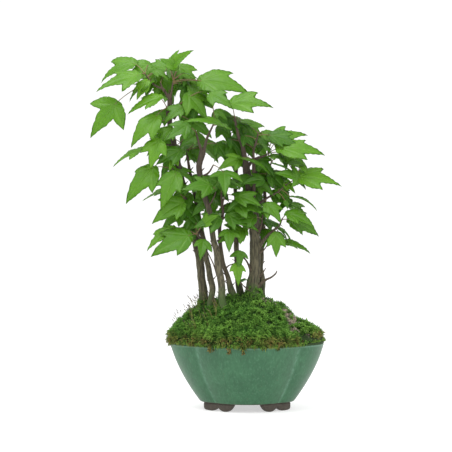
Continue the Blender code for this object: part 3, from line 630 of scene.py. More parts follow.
def make_moss_bed():
    """The dark bed under the tufts, which turns to bare soil where the attribute says so."""
    material, tree, shader, at = new_material("moss_bed")
    green = mix(tree, noise(tree, at, 500, 4), (0.006, 0.014, 0.004), (0.032, 0.075, 0.010))
    soil = mix(tree, noise(tree, at, 420, 4), (0.06, 0.048, 0.033), (0.27, 0.225, 0.16))
    # painted shade: the bare soil is dark in the gaps between its grains
    soil = mix(tree, between(tree, cells(tree, at, 520), 0.4, 0.7), soil, (0.03, 0.022, 0.015))
    set_surface(tree, shader, mix(tree, attribute(tree, "bare"), green, soil), 0.95)
    set_bump(tree, shader, noise(tree, at, 700, 4), 0.0008)
    return material


def make_moss_tuft():
    """Moss needles: painted shade makes them dark at the foot and bright at the end; each has its own tint,
    the dry ones brown.
    """
    material, tree, shader, at = new_material("moss_tuft")
    tint, rise, dry = (attribute(tree, key) for key in ("tint", "rise", "dry"))
    green = mix(tree, tint, (0.022, 0.100, 0.009), (0.28, 0.57, 0.08))
    patches = between(tree, noise(tree, at, 45), 0.42, 0.62)
    green = mix(tree, times(tree, patches, 0.35), green, (0.055, 0.25, 0.022))
    colour = mix(tree, dry, green, mix(tree, tint, (0.13, 0.085, 0.03), (0.42, 0.30, 0.09)))
    # painted shade: towards its foot a needle darkens to nearly black
    colour = mix(tree, rise, mix(tree, 0.8, colour, (0.010, 0.018, 0.004)), colour)
    set_surface(tree, shader, colour, 0.65)
    connect(tree, 0.3, shader.inputs["Specular IOR Level"])
    see_through(tree, shader, mix(tree, 0.5, colour, (0.30, 0.60, 0.03)), 0.3)
    return material


def make_bark():
    """Grey-brown maple bark with long fissures: redder on twigs, darker and redder high up, which is partly
    younger bark and partly painted shade in the crown, and green with moss at the foot.
    """
    material, tree, shader, at = new_material("maple_bark")
    fissures = noise(tree, at, 1100, 5, (1, 1, 0.14))
    plates = noise(tree, at, 180, 4, (1, 1, 0.35))
    colour = mix(tree, between(tree, fissures, 0.36, 0.62), (0.034, 0.030, 0.017), (0.112, 0.100, 0.057))
    colour = mix(tree, between(tree, plates, 0.5, 0.8), colour, (0.155, 0.140, 0.088))
    # Partly painted shade: high up in the crown the bark is darker as well as redder.
    high = mix(tree, fissures, (0.018, 0.013, 0.009), (0.105, 0.078, 0.055))
    colour = mix(tree, between(tree, height_in(tree, at), 0.13, 0.18), colour, high)
    young = mix(tree, fissures, (0.032, 0.020, 0.014), (0.125, 0.085, 0.056))
    colour = mix(tree, times(tree, attribute(tree, "young"), 0.75), colour, young)
    growth = between(tree, noise(tree, at, 220, 3), 0.3, 0.55)
    colour = mix(tree, times(tree, attribute(tree, "mossy"), growth), colour, (0.035, 0.075, 0.010))
    set_surface(tree, shader, colour, 0.85)
    set_bump(tree, shader, fissures, 0.0006)
    return material


def see_through(tree, shader, colour, share):
    """Lets some light through the shader's surface, in that colour."""
    glow = add_node(tree, "ShaderNodeBsdfTranslucent", Color=colour)
    both = tree.nodes.new("ShaderNodeMixShader")
    both.inputs[0].default_value = share
    tree.links.new(shader.outputs[0], both.inputs[1])
    tree.links.new(glow.outputs[0], both.inputs[2])
    tree.links.new(both.outputs[0], tree.nodes["Material Output"].inputs["Surface"])


def make_leaf_material():
    """Soft maple leaf: mottled green with pale ribs and side veins, paler and duller underneath."""
    material, tree, shader, at = new_material("maple_leaf")
    tint, upper, rib, vein = (attribute(tree, key) for key in ("tint", "upper", "rib", "vein"))
    top = mix(tree, tint, (0.037, 0.145, 0.007), (0.158, 0.375, 0.008))
    mottling = between(tree, noise(tree, at, 130, 3), 0.35, 0.7)
    top = mix(tree, times(tree, mottling, 0.4), top, (0.065, 0.215, 0.008))
    colour = mix(tree, upper, mix(tree, 0.45, top, (0.15, 0.31, 0.05)), top)
    side_veins = between(tree, calculate(tree, "PINGPONG", vein, 0.5), 0.42, 0.5)
    side_veins = times(tree, side_veins, 0.3)
    colour = mix(tree, side_veins, colour, (0.17, 0.37, 0.04))
    colour = mix(tree, times(tree, rib, 0.35), colour, (0.22, 0.42, 0.07))
    set_surface(tree, shader, colour, 0.42)
    connect(tree, 0.45, shader.inputs["Specular IOR Level"])
    relief = calculate(tree, "SUBTRACT", noise(tree, at, 500, 3), side_veins)
    set_bump(tree, shader, relief, 0.00025, 0.8)
    see_through(tree, shader, mix(tree, 0.6, colour, (0.42, 0.68, 0.008)), 0.38)
    return material


def make_petiole_material():
    """Leaf stalks, in patches of red and yellow green."""
    material, tree, shader, at = new_material("maple_petiole")
    colour = mix(tree, noise(tree, at, 150), (0.15, 0.065, 0.040), (0.20, 0.18, 0.06))
    set_surface(tree, shader, colour, 0.5)
    return material


def make_stalk_material():
    """Yellow-green stalks that end in a dark brown capsule."""
    material, tree, shader, _ = new_material("spore_stalk")
    colour = mix(tree, attribute(tree, "capsule"), (0.26, 0.24, 0.06), (0.035, 0.018, 0.01))
    set_surface(tree, shader, colour, 0.6)
    return material


def make_plain(name, colour, roughness):
    """One colour, lightly mottled with a darker one."""
    material, tree, shader, at = new_material(name)
    darker = tuple(0.6 * part for part in colour)
    set_surface(tree, shader, mix(tree, noise(tree, at, 400), colour, darker), roughness)
    return material


# ---- pot and feet ----


def lobed_outline(scale):
    """The quatrefoil's points, anticlockwise: a circle's arc for each lobe, from crease to crease.

    Each point is then averaged with its neighbours, which eases the creases."""
    half_width, half_depth = HALF_WIDTH * scale, HALF_DEPTH * scale
    across, deep = CREASE_ACROSS * half_width, CREASE_DEEP * half_depth
    lobes = ((half_width, across, deep), (half_depth, deep, across)) * 2
    step = 2 * np.arange(LOBE_STEPS) / LOBE_STEPS - 1
    arcs = []
    for quarter, (reach, crease_reach, half_chord) in enumerate(lobes):
        bulge = reach - crease_reach
        radius = (half_chord**2 + bulge**2) / (2 * bulge)
        angle = math.asin(half_chord / radius) * step
        x, y = reach - radius + radius * np.cos(angle), radius * np.sin(angle)
        c, s = round(math.cos(quarter * math.pi / 2)), round(math.sin(quarter * math.pi / 2))
        arcs.append(np.stack([c * x - s * y, s * x + c * y], -1))
    points = np.concatenate(arcs)
    return (np.roll(points, 1, 0) + 2 * points + np.roll(points, -1, 0)) / 4


def inset(points, distance):
    """An outline's points, each moved inwards at a right angle to the line through its neighbours."""
    along = unit(np.roll(points, -1, 0) - np.roll(points, 1, 0))
    return points - distance * np.stack([along[:, 1], -along[:, 0]], -1)


def wall_scale(height):
    """The outline's size at a height, over the rim's: from the base's share to 1, with a swell between."""
    share = (height - BASE) / (RIM - BASE)
    return BASE_SHARE + (1 - BASE_SHARE) * share * (1 + WALL_SWELL * (1 - share))


def pot_ring(depth, height):
    """The ring at a height, moved inwards from the outside of the wall."""
    ring = inset(lobed_outline(wall_scale(height)), depth)
    return np.column_stack([ring + (POT_X, 0), np.full(len(ring), height)])


def pot_rows():
    """The wall's profile as (distance in from the wall's outside, height), from the middle of the underside.

    It goes out along the underside, up the outside, over a rounded lip, down the inside and in over the
    floor."""
    turn = np.linspace(0, math.pi / 2, 7)
    rows = [(depth, BASE) for depth in UNDERSIDE_INSETS]
    rows += [(BASE_ROUNDING * (1 - math.sin(t)), BASE + BASE_ROUNDING * (1 - math.cos(t))) for t in turn]
    rows += [(0, h) for h in np.linspace(BASE + BASE_ROUNDING, RIM - LIP_ROUNDING, 40)[1:]]
    rows += [(LIP_ROUNDING * (1 - math.cos(t)), RIM - LIP_ROUNDING * (1 - math.sin(t))) for t in turn[1:]]
    rows += [(WALL - LIP_ROUNDING * (1 - math.sin(t)), RIM - LIP_ROUNDING * (1 - math.cos(t))) for t in turn]
    rows += [(WALL, h) for h in np.linspace(RIM - LIP_ROUNDING, BASE + FLOOR, 24)[1:]]
    rows += [(WALL + depth, BASE + FLOOR) for depth in FLOOR_INSETS]
    return rows


def is_bare(centres):
    """Which faces have no glaze: the underside, and the middle of the floor, by their centres."""
    underside = centres[:, 2] < BASE + 0.3 * BASE_ROUNDING
    under_floor = centres[:, 2] < BASE + FLOOR + 0.0002
    middle = np.hypot(centres[:, 0] - POT_X, centres[:, 1]) < BARE_FLOOR_RADIUS
    return underside | under_floor & middle


def drill_drain_holes(pot):
    """Cuts two holes through the pot's floor, each with a cylinder."""
    cutters = []
    for side in (-1, 1):
        bpy.ops.mesh.primitive_cylinder_add(
            vertices=48,
            radius=DRAIN_HOLE_WIDTH / 2,
            depth=4 * FLOOR,
            location=(POT_X + side * DRAIN_HOLE_SPACING / 2, 0, BASE + FLOOR / 2),
        )
        cutters.append(bpy.context.object)
        hole = pot.modifiers.new("drain_hole", "BOOLEAN")
        hole.operation = "DIFFERENCE"
        hole.solver = "MANIFOLD"
        hole.object = cutters[-1]
    pot.data = bpy.data.meshes.new_from_object(pot.evaluated_get(bpy.context.evaluated_depsgraph_get()))
    pot.modifiers.clear()
    for cutter in cutters:
        bpy.data.objects.remove(cutter)


def make_pot(glaze, clay):
    """A loft of the lobed outline along the wall's profile, closed below and on its floor."""
    rows = pot_rows()
    rings = np.stack([pot_ring(depth, height) for depth, height in rows])
    place = np.arange(4 * LOBE_STEPS) % LOBE_STEPS
    from_crease = np.minimum(place, LOBE_STEPS - place)
    crease = np.tile(np.exp(-((from_crease / CREASE_SPREAD) ** 2)), (len(rows), 1))
    body = ring_body(rings, (POT_X, 0, BASE), (POT_X, 0, BASE + FLOOR), crease=crease)
    points, (quads, fans), _ = body
    bare = is_bare(points[np.concatenate([quads[:, 0], fans[:, 1]])])
    pot = new_piece("glazed_pot", body, [glaze, clay], ["pot"], bare)
    drill_drain_holes(pot)


def make_feet(clay):
    """Cloud feet: each is a rounded bar along the base's outline, its middle on a crease.

    It has a wing to either side of the crease. Its underside is arched at the crease and its ends curl up."""
    outline = inset(lobed_outline(BASE_SHARE), FOOT_SETBACK)
    length = np.linalg.norm(np.roll(outline, -1, 0) - outline, axis=1)
    around = np.concatenate([[0], np.cumsum(length)])
    closed = np.vstack([outline, outline[:1]])
    share = np.linspace(-1, 1, FOOT_STEPS)
    angle = turn_angles(FOOT_AROUND)
    across = -np.sign(np.cos(angle)) * np.abs(np.cos(angle)) ** FOOT_SQUARENESS
    upward = np.sign(np.sin(angle)) * np.abs(np.sin(angle)) ** FOOT_SQUARENESS
    top = BASE + FOOT_SEAT
    for number, corner in enumerate(("front_right", "back_right", "back_left", "front_left")):
        wings = (FRONT_WING, SIDE_WING) if number % 2 == 0 else (SIDE_WING, FRONT_WING)
        at = around[number * LOBE_STEPS] + share * np.where(share > 0, wings[1], wings[0])
        path = np.stack([np.interp(at % around[-1], around, closed[:, k]) for k in (0, 1)], -1)
        path = np.pad(path, ((2, 2), (0, 0)), "edge")
        path = (path[:-4] + path[1:-3] + path[2:-2] + path[3:-1] + path[4:]) / 5
        along = unit(np.gradient(path, axis=0))
        inward = np.stack([-along[:, 1], along[:, 0]], -1)
        to_front = (share > 0) == (wings[1] == FRONT_WING)
        start, lift = (np.where(to_front, front, side) for front, side in zip(FRONT_CURL, SIDE_CURL))
        curl = lift * BASE * np.clip((np.abs(share) - start) / (1 - start), 0, 1) ** 2.2
        low = FOOT_ARCH * np.clip(1 - np.abs(share) / FOOT_ARCH_REACH, 0, 1) ** 1.5 + curl
        ends = np.sqrt(1 - np.abs(share) ** 9 * 0.96)
        half = (top - low) / 2 * ends
        middle = (top + low) / 2
        depth = FOOT_THICKNESS / 2 * (1 + across[None] * ends[:, None])
        rings = np.empty((len(share), len(angle), 3))
        rings[..., :2] = path[:, None] + inward[:, None] * depth[..., None]
        rings[..., 2] = middle[:, None] + half[:, None] * upward[None]
        rings[..., 0] += POT_X
        body = ring_body(rings, rings[0].mean(0), rings[-1].mean(0))
        new_piece(f"cloud_foot_{corner}", body, [clay], [f"foot_{corner}"])


# ---- mound ----


def outline_reach(angle):
    """How far the rim's outline is from the pot's centre in a direction."""
    outline = lobed_outline(1.0)
    directions = np.unwrap(np.arctan2(outline[:, 1], outline[:, 0]))
    return np.interp(
        (angle - directions[0]) % (2 * math.pi) + directions[0],
        np.append(directions, directions[0] + 2 * math.pi),
        np.append(np.hypot(*outline.T), np.hypot(*outline[0])),
    )


def mound_height(x, y):
    """The bed's height at a place from the pot's centre.

    It is a dome, flatter along the pot, lower to the right, with soft lumps, a little soil where it is bare,
    and a round hole."""
    share = np.clip(np.hypot(x, y) / outline_reach(np.arctan2(y, x)), 0, 1)
    power = 2.3 - 0.9 * np.sin(np.arctan2(y / HALF_DEPTH, x / HALF_WIDTH)) ** 2
    dome = (1 - share**power) ** 0.7
    place = np.stack([x, y], -1)
    lumps = ripples(place, 0.017, 4) * 0.0013 + ripples(place, 0.006, 5) * 0.0005
    right = RIGHT_DROP * smooth_step(x, 0.010, 0.040) * np.minimum(1, 6 * (1 - share))
    hollow = HOLLOW_DEPTH * np.exp(-(from_hollow(x, y) ** 2) / HOLLOW_RADIUS**2)
    soil = 0.0012 * bare_patch(x, y)
    height = RIM + MOUND_EDGE + MOUND_RISE * dome + soil - right
    return height + lumps * np.minimum(1, 4 * (1 - share)) - hollow


def bare_patch(x, y):
    """How bare of moss the mound is, 0 to 1: inside the bare spots, whose edges ripples make ragged."""
    place = np.stack([x, y], -1)
    spots = np.array(BARE_SPOTS) * MM
    near = np.max([1 - np.hypot(x - spot_x, y - spot_y) / radius for spot_x, spot_y, radius in spots], 0)
    return smooth_step(near + 0.35 * ripples(place, 0.008, 8) + 0.2 * ripples(place, 0.0035, 9), 0.0, 0.35)


def make_mound(bed, soil):
    """The bed, as rings of the rim's outline that shrink to the middle over the dome, and the soil below."""
    angle = turn_angles(MOUND_AROUND)
    rim = outline_reach(angle)[:, None] * np.stack([np.cos(angle), np.sin(angle)], -1)
    shares = np.concatenate([np.linspace(0.985, 0.9, 12), np.linspace(0.9, 0.02, 70)[1:]])
    over = shares[:, None, None] * rim
    over = np.concatenate([over, mound_height(over[..., 0], over[..., 1])[..., None]], -1)
    edge = [
        (0.5, BED_UNDERSIDE), (0.93, RIM - 0.0006), (0.985, RIM - 0.0004), (1.0, RIM + 0.0004),
        (0.998, RIM + 0.0014),
    ]
    below = [np.column_stack([share * rim, np.full(MOUND_AROUND, height)]) for share, height in edge]
    rings = np.concatenate([np.stack(below), over]) + (POT_X, 0, 0)
    bare = bare_patch(rings[..., 0] - POT_X, rings[..., 1])
    body = ring_body(rings, (POT_X, 0, BED_UNDERSIDE), (POT_X, 0, rings[-1, :, 2].mean()), bare=bare)
    new_piece("moss_bed", body, [bed], ["moss"])
    heights = np.linspace(BASE + FLOOR + SOIL_GAP, RIM - 0.0012, 16)
    rings = np.stack([pot_ring(WALL + SOIL_GAP, height) for height in heights])
    body = ring_body(rings, (POT_X, 0, heights[0]), (POT_X, 0, heights[-1]))
    new_piece("potting_soil", body, [soil], ["soil"])


def mound_normal(x, y):
    """The direction at a right angle to the bed, from its slopes both ways."""
    step = 0.0004
    slope_x = (mound_height(x + step, y) - mound_height(x - step, y)) / (2 * step)
    slope_y = (mound_height(x, y + step) - mound_height(x, y - step)) / (2 * step)
    return unit(np.stack([-slope_x, -slope_y, np.ones_like(x)], -1))


def needles(name, base, lean, length, tint, dry, material):
    """Curved three-sided spikes, all at once: a triangle at the base, one in the middle, and a point.

    The middle and the point lie along the lean, and sag in proportion to the needle's length."""
    count = len(base)
    side = unit(np.cross(lean, np.roll(np.abs(lean), 1, -1) + 0.1))
    up = np.cross(lean, side)
    turn = turn_angles(3)
    out = side[:, None] * np.cos(turn)[:, None] + up[:, None] * np.sin(turn)[:, None]
    width = NEEDLE_WIDTH * (0.7 + 0.6 * tint)[:, None, None]
    sag = np.array([0, 0, -1.0])
    middle = base + lean * (length * 0.55)[:, None] + sag * (0.04 * length)[:, None]
    tip = base + lean * length[:, None] + sag * (0.22 * length)[:, None]
    triangles = [base[:, None] + out * width, middle[:, None] + out * width * 0.85]
    points = np.concatenate([*triangles, tip[:, None]], 1)
    sides = np.array([(0, 1, 4, 3), (1, 2, 5, 4), (2, 0, 3, 5)])
    ends = np.array([(3, 4, 6), (4, 5, 6), (5, 3, 6), (2, 1, 0)])
    start = (np.arange(count) * 7)[:, None, None]
    polygons = [(face + start).reshape(-1, face.shape[1]) for face in (sides, ends)]
    rise = np.tile([0, 0, 0, 0.7, 0.7, 0.7, 1.0], count)
    values = {"tint": np.repeat(tint, 7), "dry": np.repeat(dry, 7), "rise": rise}
    new_piece(name, (points.reshape(-1, 3), polygons, values), [material], smooth=False)


def splayed(random, centre, normal, size):
    """Needles that splay from each centre about its normal: their bases, leans and lengths."""
    lean = unit(normal[:, None] + SPLAY * unit(random.normal(size=(len(centre), NEEDLES, 3))))
    base = centre[:, None] + lean * 0.0003
    length = random.uniform(*NEEDLE_LENGTH, (len(centre), NEEDLES)) * size[:, None]
    return base.reshape(-1, 3), lean.reshape(-1, 3), length.ravel()


def mound_tufts(random):
    """Tufts over the mound: fewer in its gaps, short by the bare patch, and darker by the trunks and round
    the hole, which is painted shade.
    """
    angle = random.uniform(0, 2 * math.pi, TUFTS)
    inside = random.random(TUFTS) < 0.75
    share = np.where(inside, np.sqrt(random.random(TUFTS)) * 0.96, random.uniform(0.86, 1.0, TUFTS))
    reach = outline_reach(angle) * (1 - 0.045 * smooth_step(np.cos(angle), 0.65, 0.95))
    x, y = share * reach * np.cos(angle), share * reach * np.sin(angle)
    gaps = smooth_step(ripples(np.stack([x, y], -1), 0.006, 14), -0.9, -1.5)
    in_hole = from_hollow(x, y) < 0.0050
    kept = random.random(TUFTS) > 1.3 * bare_patch(x, y) + 0.8 * gaps + in_hole
    x, y, share = x[kept], y[kept], share[kept]
    normal = mound_normal(x, y)
    centre = np.stack([x + POT_X, y, mound_height(x, y)], -1)
    clump = ripples(np.stack([x, y], -1), 0.009, 12)
    centre += normal * (0.0020 * random.random(len(x)) ** 2 + 0.0007 * clump)[:, None]
    hanging = smooth_step(share, 0.9, 1.0)[:, None]
    normal = unit(normal + hanging * (0, 0, -0.5))
    # painted shade: tufts near the trunks' feet get a deeper green
    feet = np.array([rows[0][:2] for rows in TRUNKS.values()]) * MM
    to_feet = np.hypot(x[:, None] - feet[:, 0], y[:, None] - feet[:, 1])
    shade = np.minimum(np.exp(-(to_feet**2) / 0.009**2).sum(1), 1.2)
    tint = np.clip(0.46 + 0.2 * clump - 0.28 * shade + random.normal(0, 0.28, len(x)), 0, 1)
    dry = np.clip(smooth_step(share, 0.93, 0.99) * random.random(len(x)) * 1.2, 0, 1)
    # painted shade: tufts round the hole are darkened so that it reads as dark
    to_hole = from_hollow(x, y + 0.003)
    tint *= 1 - np.exp(-((to_hole / 0.0055) ** 2))
    size = random.uniform(0.8, 1.2, len(x)) * (1 - 0.45 * bare_patch(x, y + 0.0015))
    size *= 1 - 0.65 * np.exp(-((to_hole / 0.006) ** 2))
    return centre, normal, tint, dry, size


def make_tufts(material):
    """All tufts, on the mound, the trunks' feet and the pot's rim, as three pieces from front to back."""
    random = np.random.default_rng(21)
    groups = [mound_tufts(random)]
    groups += [trunk_tufts(random, name) for name in TRUNKS]
    groups.append(rim_fringe(random))
    centre, normal, tint, dry, size = (np.concatenate(part) for part in zip(*groups))
    parts = np.array_split(np.argsort(centre[:, 1]), 3)
    for part, place in zip(parts, ("front", "middle", "back")):
        base, lean, length = splayed(random, centre[part], normal[part], size[part])
        hue = np.clip(np.repeat(tint[part], NEEDLES) + random.normal(0, 0.18, len(base)), 0, 1)
        needles(f"moss_{place}", base, lean, length, hue, np.repeat(dry[part], NEEDLES), material)


def trunk_tufts(random, name):
    """Moss that climbs a trunk's foot, thinner as it gets higher."""
    rows = curve_through(TRUNKS[name][:4], 0.5)
    foot_radius = rows[0, 3]
    count = int(26 * foot_radius)
    climb = 1.5 + 1.1 * foot_radius
    ground = (mound_height(rows[:1, 0] * MM, rows[:1, 1] * MM)[0] - RIM) / MM
    height = ground - 1 + climb * random.random(count) ** 1.7
    place = np.stack([np.interp(height, rows[:, 2], rows[:, k]) for k in range(4)], -1)
    angle = random.uniform(0, 2 * math.pi, count)
    out = np.stack([np.cos(angle), np.sin(angle), np.full(count, 0.35)], -1)
    centre = placed(np.column_stack([place[:, :2], height])) + out * (place[:, 3:] * MM * 0.9)
    return centre, unit(out), random.uniform(0.1, 0.8, count), np.zeros(count), np.full(count, 0.55)


def rim_fringe(random):
    """Dry tufts over the rim: they hang down in bunches, but stand up at the pot's right end."""
    count = FRINGE_TUFTS
    angle = random.uniform(0, 2 * math.pi, count)
    right = smooth_step(np.cos(angle), 0.70, 0.92)
    bunch = 0.5 + 0.5 * ripples(np.stack([np.cos(angle), np.sin(angle)], -1), 0.22, 31)
    longest = (0.0018 + 0.0054 * np.clip(bunch, 0, 1) ** 4) * (1 - 0.5 * np.cos(angle) ** 4)
    drop = random.random(count) * longest
    height = RIM + 0.0040 - 0.0010 * np.sin(angle) ** 2 - drop * (1 - 0.8 * right) - 0.0020 * right
    inwards = 0.035 * right * random.random(count)
    reach = outline_reach(angle) * (np.minimum(wall_scale(height), 0.997) - inwards)
    centre = np.stack([POT_X + reach * np.cos(angle), reach * np.sin(angle), height], -1)
    normal = unit(np.stack([0.2 * np.cos(angle), 0.2 * np.sin(angle), -1 + 1.7 * right], -1))
    dry = np.clip(0.1 + random.random(count) + 150 * (RIM - height), 0, 1) * (1 - 0.5 * right)
    return centre, normal, random.random(count), dry, 0.7 - 30 * drop


def make_spore_stalks(material):
    """Thin upright stalks with a dark nodding capsule at the end, mostly at the mound's left."""
    random = np.random.default_rng(77)
    along = np.linspace(0, 1, 9)
    t = along[:, None]
    nod = np.array([-0.0018, 0, -0.0008]) * t**4
    radius = np.interp(along, [0, 0.80, 0.86, 0.94, 1.0], [1, 1, 3.4, 4.4, 1.6]) * STALK_RADIUS
    capsule = np.repeat(smooth_step(t, 0.8, 0.86), 6, 1)
    bodies = []
    for _ in range(SPORE_STALKS):
        x, y = random.uniform(-0.056, -0.016), random.uniform(-0.034, 0.016)
        if np.hypot(x, y) > 0.97 * outline_reach(np.arctan2(y, x)):
            continue
        foot = np.array([POT_X + x, y, mound_height(np.array([x]), np.array([y]))[0]])
        lean = np.array([random.uniform(-0.35, 0.1), random.uniform(-0.25, 0.1), 1.0])
        path = foot + unit(lean) * random.uniform(0.009, 0.016) * t + nod
        bodies.append(ring_body(sweep(path, radius, 6), path[0], path[-1], capsule=capsule))
    new_piece("spore_stalks", joined(bodies), [material])


def make_grit(material):
    """Loose grains of soil on the bare patch: squashed balls with lumps."""
    random = np.random.default_rng(9)
    x, y = random.uniform(-0.056, 0.052, GRAINS_TRIED), random.uniform(-0.036, 0.012, GRAINS_TRIED)
    kept = bare_patch(x, y) > 0.4
    x, y = x[kept], y[kept]
    ground = mound_height(x, y)
    polar = np.linspace(0, math.pi, 6)[1:-1, None]
    angle = turn_angles(7)
    level = np.cos(polar) + 0 * angle
    ball = np.stack([np.sin(polar) * np.cos(angle), np.sin(polar) * np.sin(angle), level], -1)
    bodies = []
    for i in range(len(x)):
        size = random.uniform(*GRAIN_SIZES)
        size *= np.array([1, random.uniform(0.7, 1.2), random.uniform(0.5, 0.9)])
        lumpy = ball * (1 + random.normal(0, 0.12, ball.shape[:2])[..., None]) * size
        centre = np.array([POT_X + x[i], y[i], ground[i] + 0.2 * size[2]])
        top, bottom = centre + (0, 0, size[2]), centre - (0, 0, size[2])
        bodies.append(ring_body(lumpy + centre, top, bottom))
    new_piece("soil_grains", joined(bodies), [material], smooth=False)


# ---- trees ----


def bark_relief(distance, angle, seed, random, is_trunk):
    """How far the bark stands out, as a share of the radius: ridges that wander along the limb, and knots.

    A ridge is a cosine of a whole multiple of the angle, whose phase ripples along the limb. A trunk's foot
    also has three roots that fade within a few millimetres, and a twig swells where it starts."""
    ridges = np.zeros((len(distance), len(angle)))
    for lobes, depth in RIDGES:
        wander = ripples(distance[:, None], RIDGE_WANDER_LENGTH, seed + 10 * lobes) * 1.1
        ridges += depth * np.cos(lobes * angle + wander[:, None] + random.uniform(0, PHASES))
    knots = 0.03 * ripples(distance[:, None], KNOT_SPACING, seed + 5) ** 2 * (0.5 if is_trunk else 1)
    if is_trunk:
        roots = np.clip(np.cos(3 * angle + random.uniform(0, PHASES)) + 0.3, 0, 2)
        ridges = ridges + 0.30 * np.exp(-distance / 5)[:, None] * roots
    else:
        ridges = ridges * 0.7 + (0.45 * np.exp(-distance / 1.3))[:, None] - 0.2
    return ridges + knots[:, None] * 0.5


def limb(rows, seed, around, spacing, is_trunk=False):
    """A trunk or twig: rings along a smooth curve with slight bends, their radius changed by bark_relief."""
    random = np.random.default_rng(seed)
    rows = curve_through(rows, spacing)
    path = placed(rows)
    radius = rows[:, 3] * MM
    along = np.arange(len(rows)) / (len(rows) - 1)
    distance = along * len(rows) * spacing
    bend = np.stack([ripples(distance[:, None], BEND_LENGTH, seed + k) for k in (1, 2)], -1)
    strength = BEND_WIDTH * MM * np.minimum(1, 12 * along * (1 - along))[:, None]
    path[:, :2] += bend * strength * (1 if is_trunk else 0.5)
    relief = bark_relief(distance, turn_angles(around), seed, random, is_trunk)
    surface = radius[:, None] * (1 + relief)
    surface[-1] *= 0.55
    rings = sweep(path, surface, around)
    tip = path[-1] + unit(path[-1] - path[-2]) * radius[-1] * 0.5
    ground = np.interp(rows[:, 0], [-60, -38, 5, 60], [60, 78, 88, 60]) * MM
    mossy = smooth_step(path[:, 2], ground + 0.018, ground - 0.002) if is_trunk else 0 * path[:, 2]
    young = 1 - smooth_step(radius, 0.0010, 0.0024)
    spread = np.ones((1, around))
    return ring_body(rings, path[0], tip, young=young[:, None] * spread, mossy=mossy[:, None] * spread)


def stubs(rows, seed):
    """Short broken spurs that stand out from a trunk."""
    random = np.random.default_rng(seed)
    rows = curve_through(rows, 1.0)
    bodies = []
    for number in range(STUBS_PER_TRUNK):
        row = rows[random.integers(len(rows) // 8, len(rows) - 4)]
        angle = random.uniform(0, 2 * math.pi)
        way = np.array([math.cos(angle), math.sin(angle), random.uniform(0.3, 1.2)])
        start = row[:3] + way * row[3] * 0.4
        reach = row[3] * 0.6 + random.uniform(1.0, 3.2)
        radius = random.uniform(0.3, 0.55)
        steps = ((0, 1.5), (0.5, 1), (1, 0.7))
        points = [(*(start + way * reach * share), radius * thickness) for share, thickness in steps]
        bodies.append(limb(points, seed + number, STUB_AROUND, STUB_SPACING))
    return bodies


def make_trees(bark):
    """Each tree is one piece: its trunk, which starts in the soil, its twigs and its stubs."""
    for number, (name, rows) in enumerate(TRUNKS.items(), 1):
        seed = 100 * number
        x, y, height, radius = rows[0]
        root = (x, y, height - ROOT_DEPTH, radius * 0.9)
        bodies = [limb([root, *rows], seed, TRUNK_AROUND, TRUNK_SPACING, is_trunk=True)]
        for k, twig in enumerate(TWIGS[name]):
            bodies.append(limb(twig, seed + 7 * k + 3, TWIG_AROUND, TWIG_SPACING))
        bodies += stubs(rows, seed + 50)
        new_piece(f"maple_{name[5:]}", joined(bodies), [bark], [name])


# ---- leaves ----


def leaf_outline(side_angle, lobe_sizes, random):
    """The blade's edge all the way round: its angle and reach from the petiole, as shares of the middle lobe.

    Each lobe has its own reach at an angle from its rib. The edge is the furthest of them, eased where two
    meet, with a fine wave that dies out at the lobes' points."""
    share = np.arange(LEAF_AROUND) / LEAF_AROUND * 2 - 1
    angle = np.abs(share) ** 1.35 * 180
    angle[np.abs(share).argmin()] = 0
    halves = [np.where(share < 0)[0], np.where(share > 0)[0]]
    for half in halves:
        angle[half[np.abs(angle[half] - side_angle).argmin()]] = side_angle
    middle = np.interp(angle, *np.array(MIDDLE_LOBE).T)
    lobe = np.interp(angle - side_angle, *np.array(SIDE_LOBE).T)
    for half, size in zip(halves, lobe_sizes):
        lobe[half] *= size * random.uniform(0.84, 1.1)
    reach = (middle**LOBE_EASE + lobe**LOBE_EASE) ** (1 / LOBE_EASE)
    wave = np.zeros(LEAF_AROUND)
    for waves in (17, 26, 37):
        height = random.uniform(0.4, 1)
        wave += height * np.sin(waves * np.radians(angle) * np.sign(share) + random.uniform(0, PHASES))
    reach *= 1 + 0.022 * wave * smooth_step(angle, 1, 8) * smooth_step(np.abs(angle - side_angle), 0, 6)
    return np.radians(angle) * np.sign(share + 1e-9), reach


def rib_places(angle, radial, side_angle):
    """How far each place of a blade is along its nearest lobe's rib, and how far off it."""
    lobe = math.radians(side_angle)
    off = np.abs(angle - np.array([[0.0], [lobe], [-lobe]])).min(0)
    return radial * np.cos(off), radial * np.sin(np.minimum(off, 1.5))


def both_sides(values):
    """Rows from the petiole to the edge, and back again without the edge's own."""
    return np.concatenate([values, values[-2::-1]])


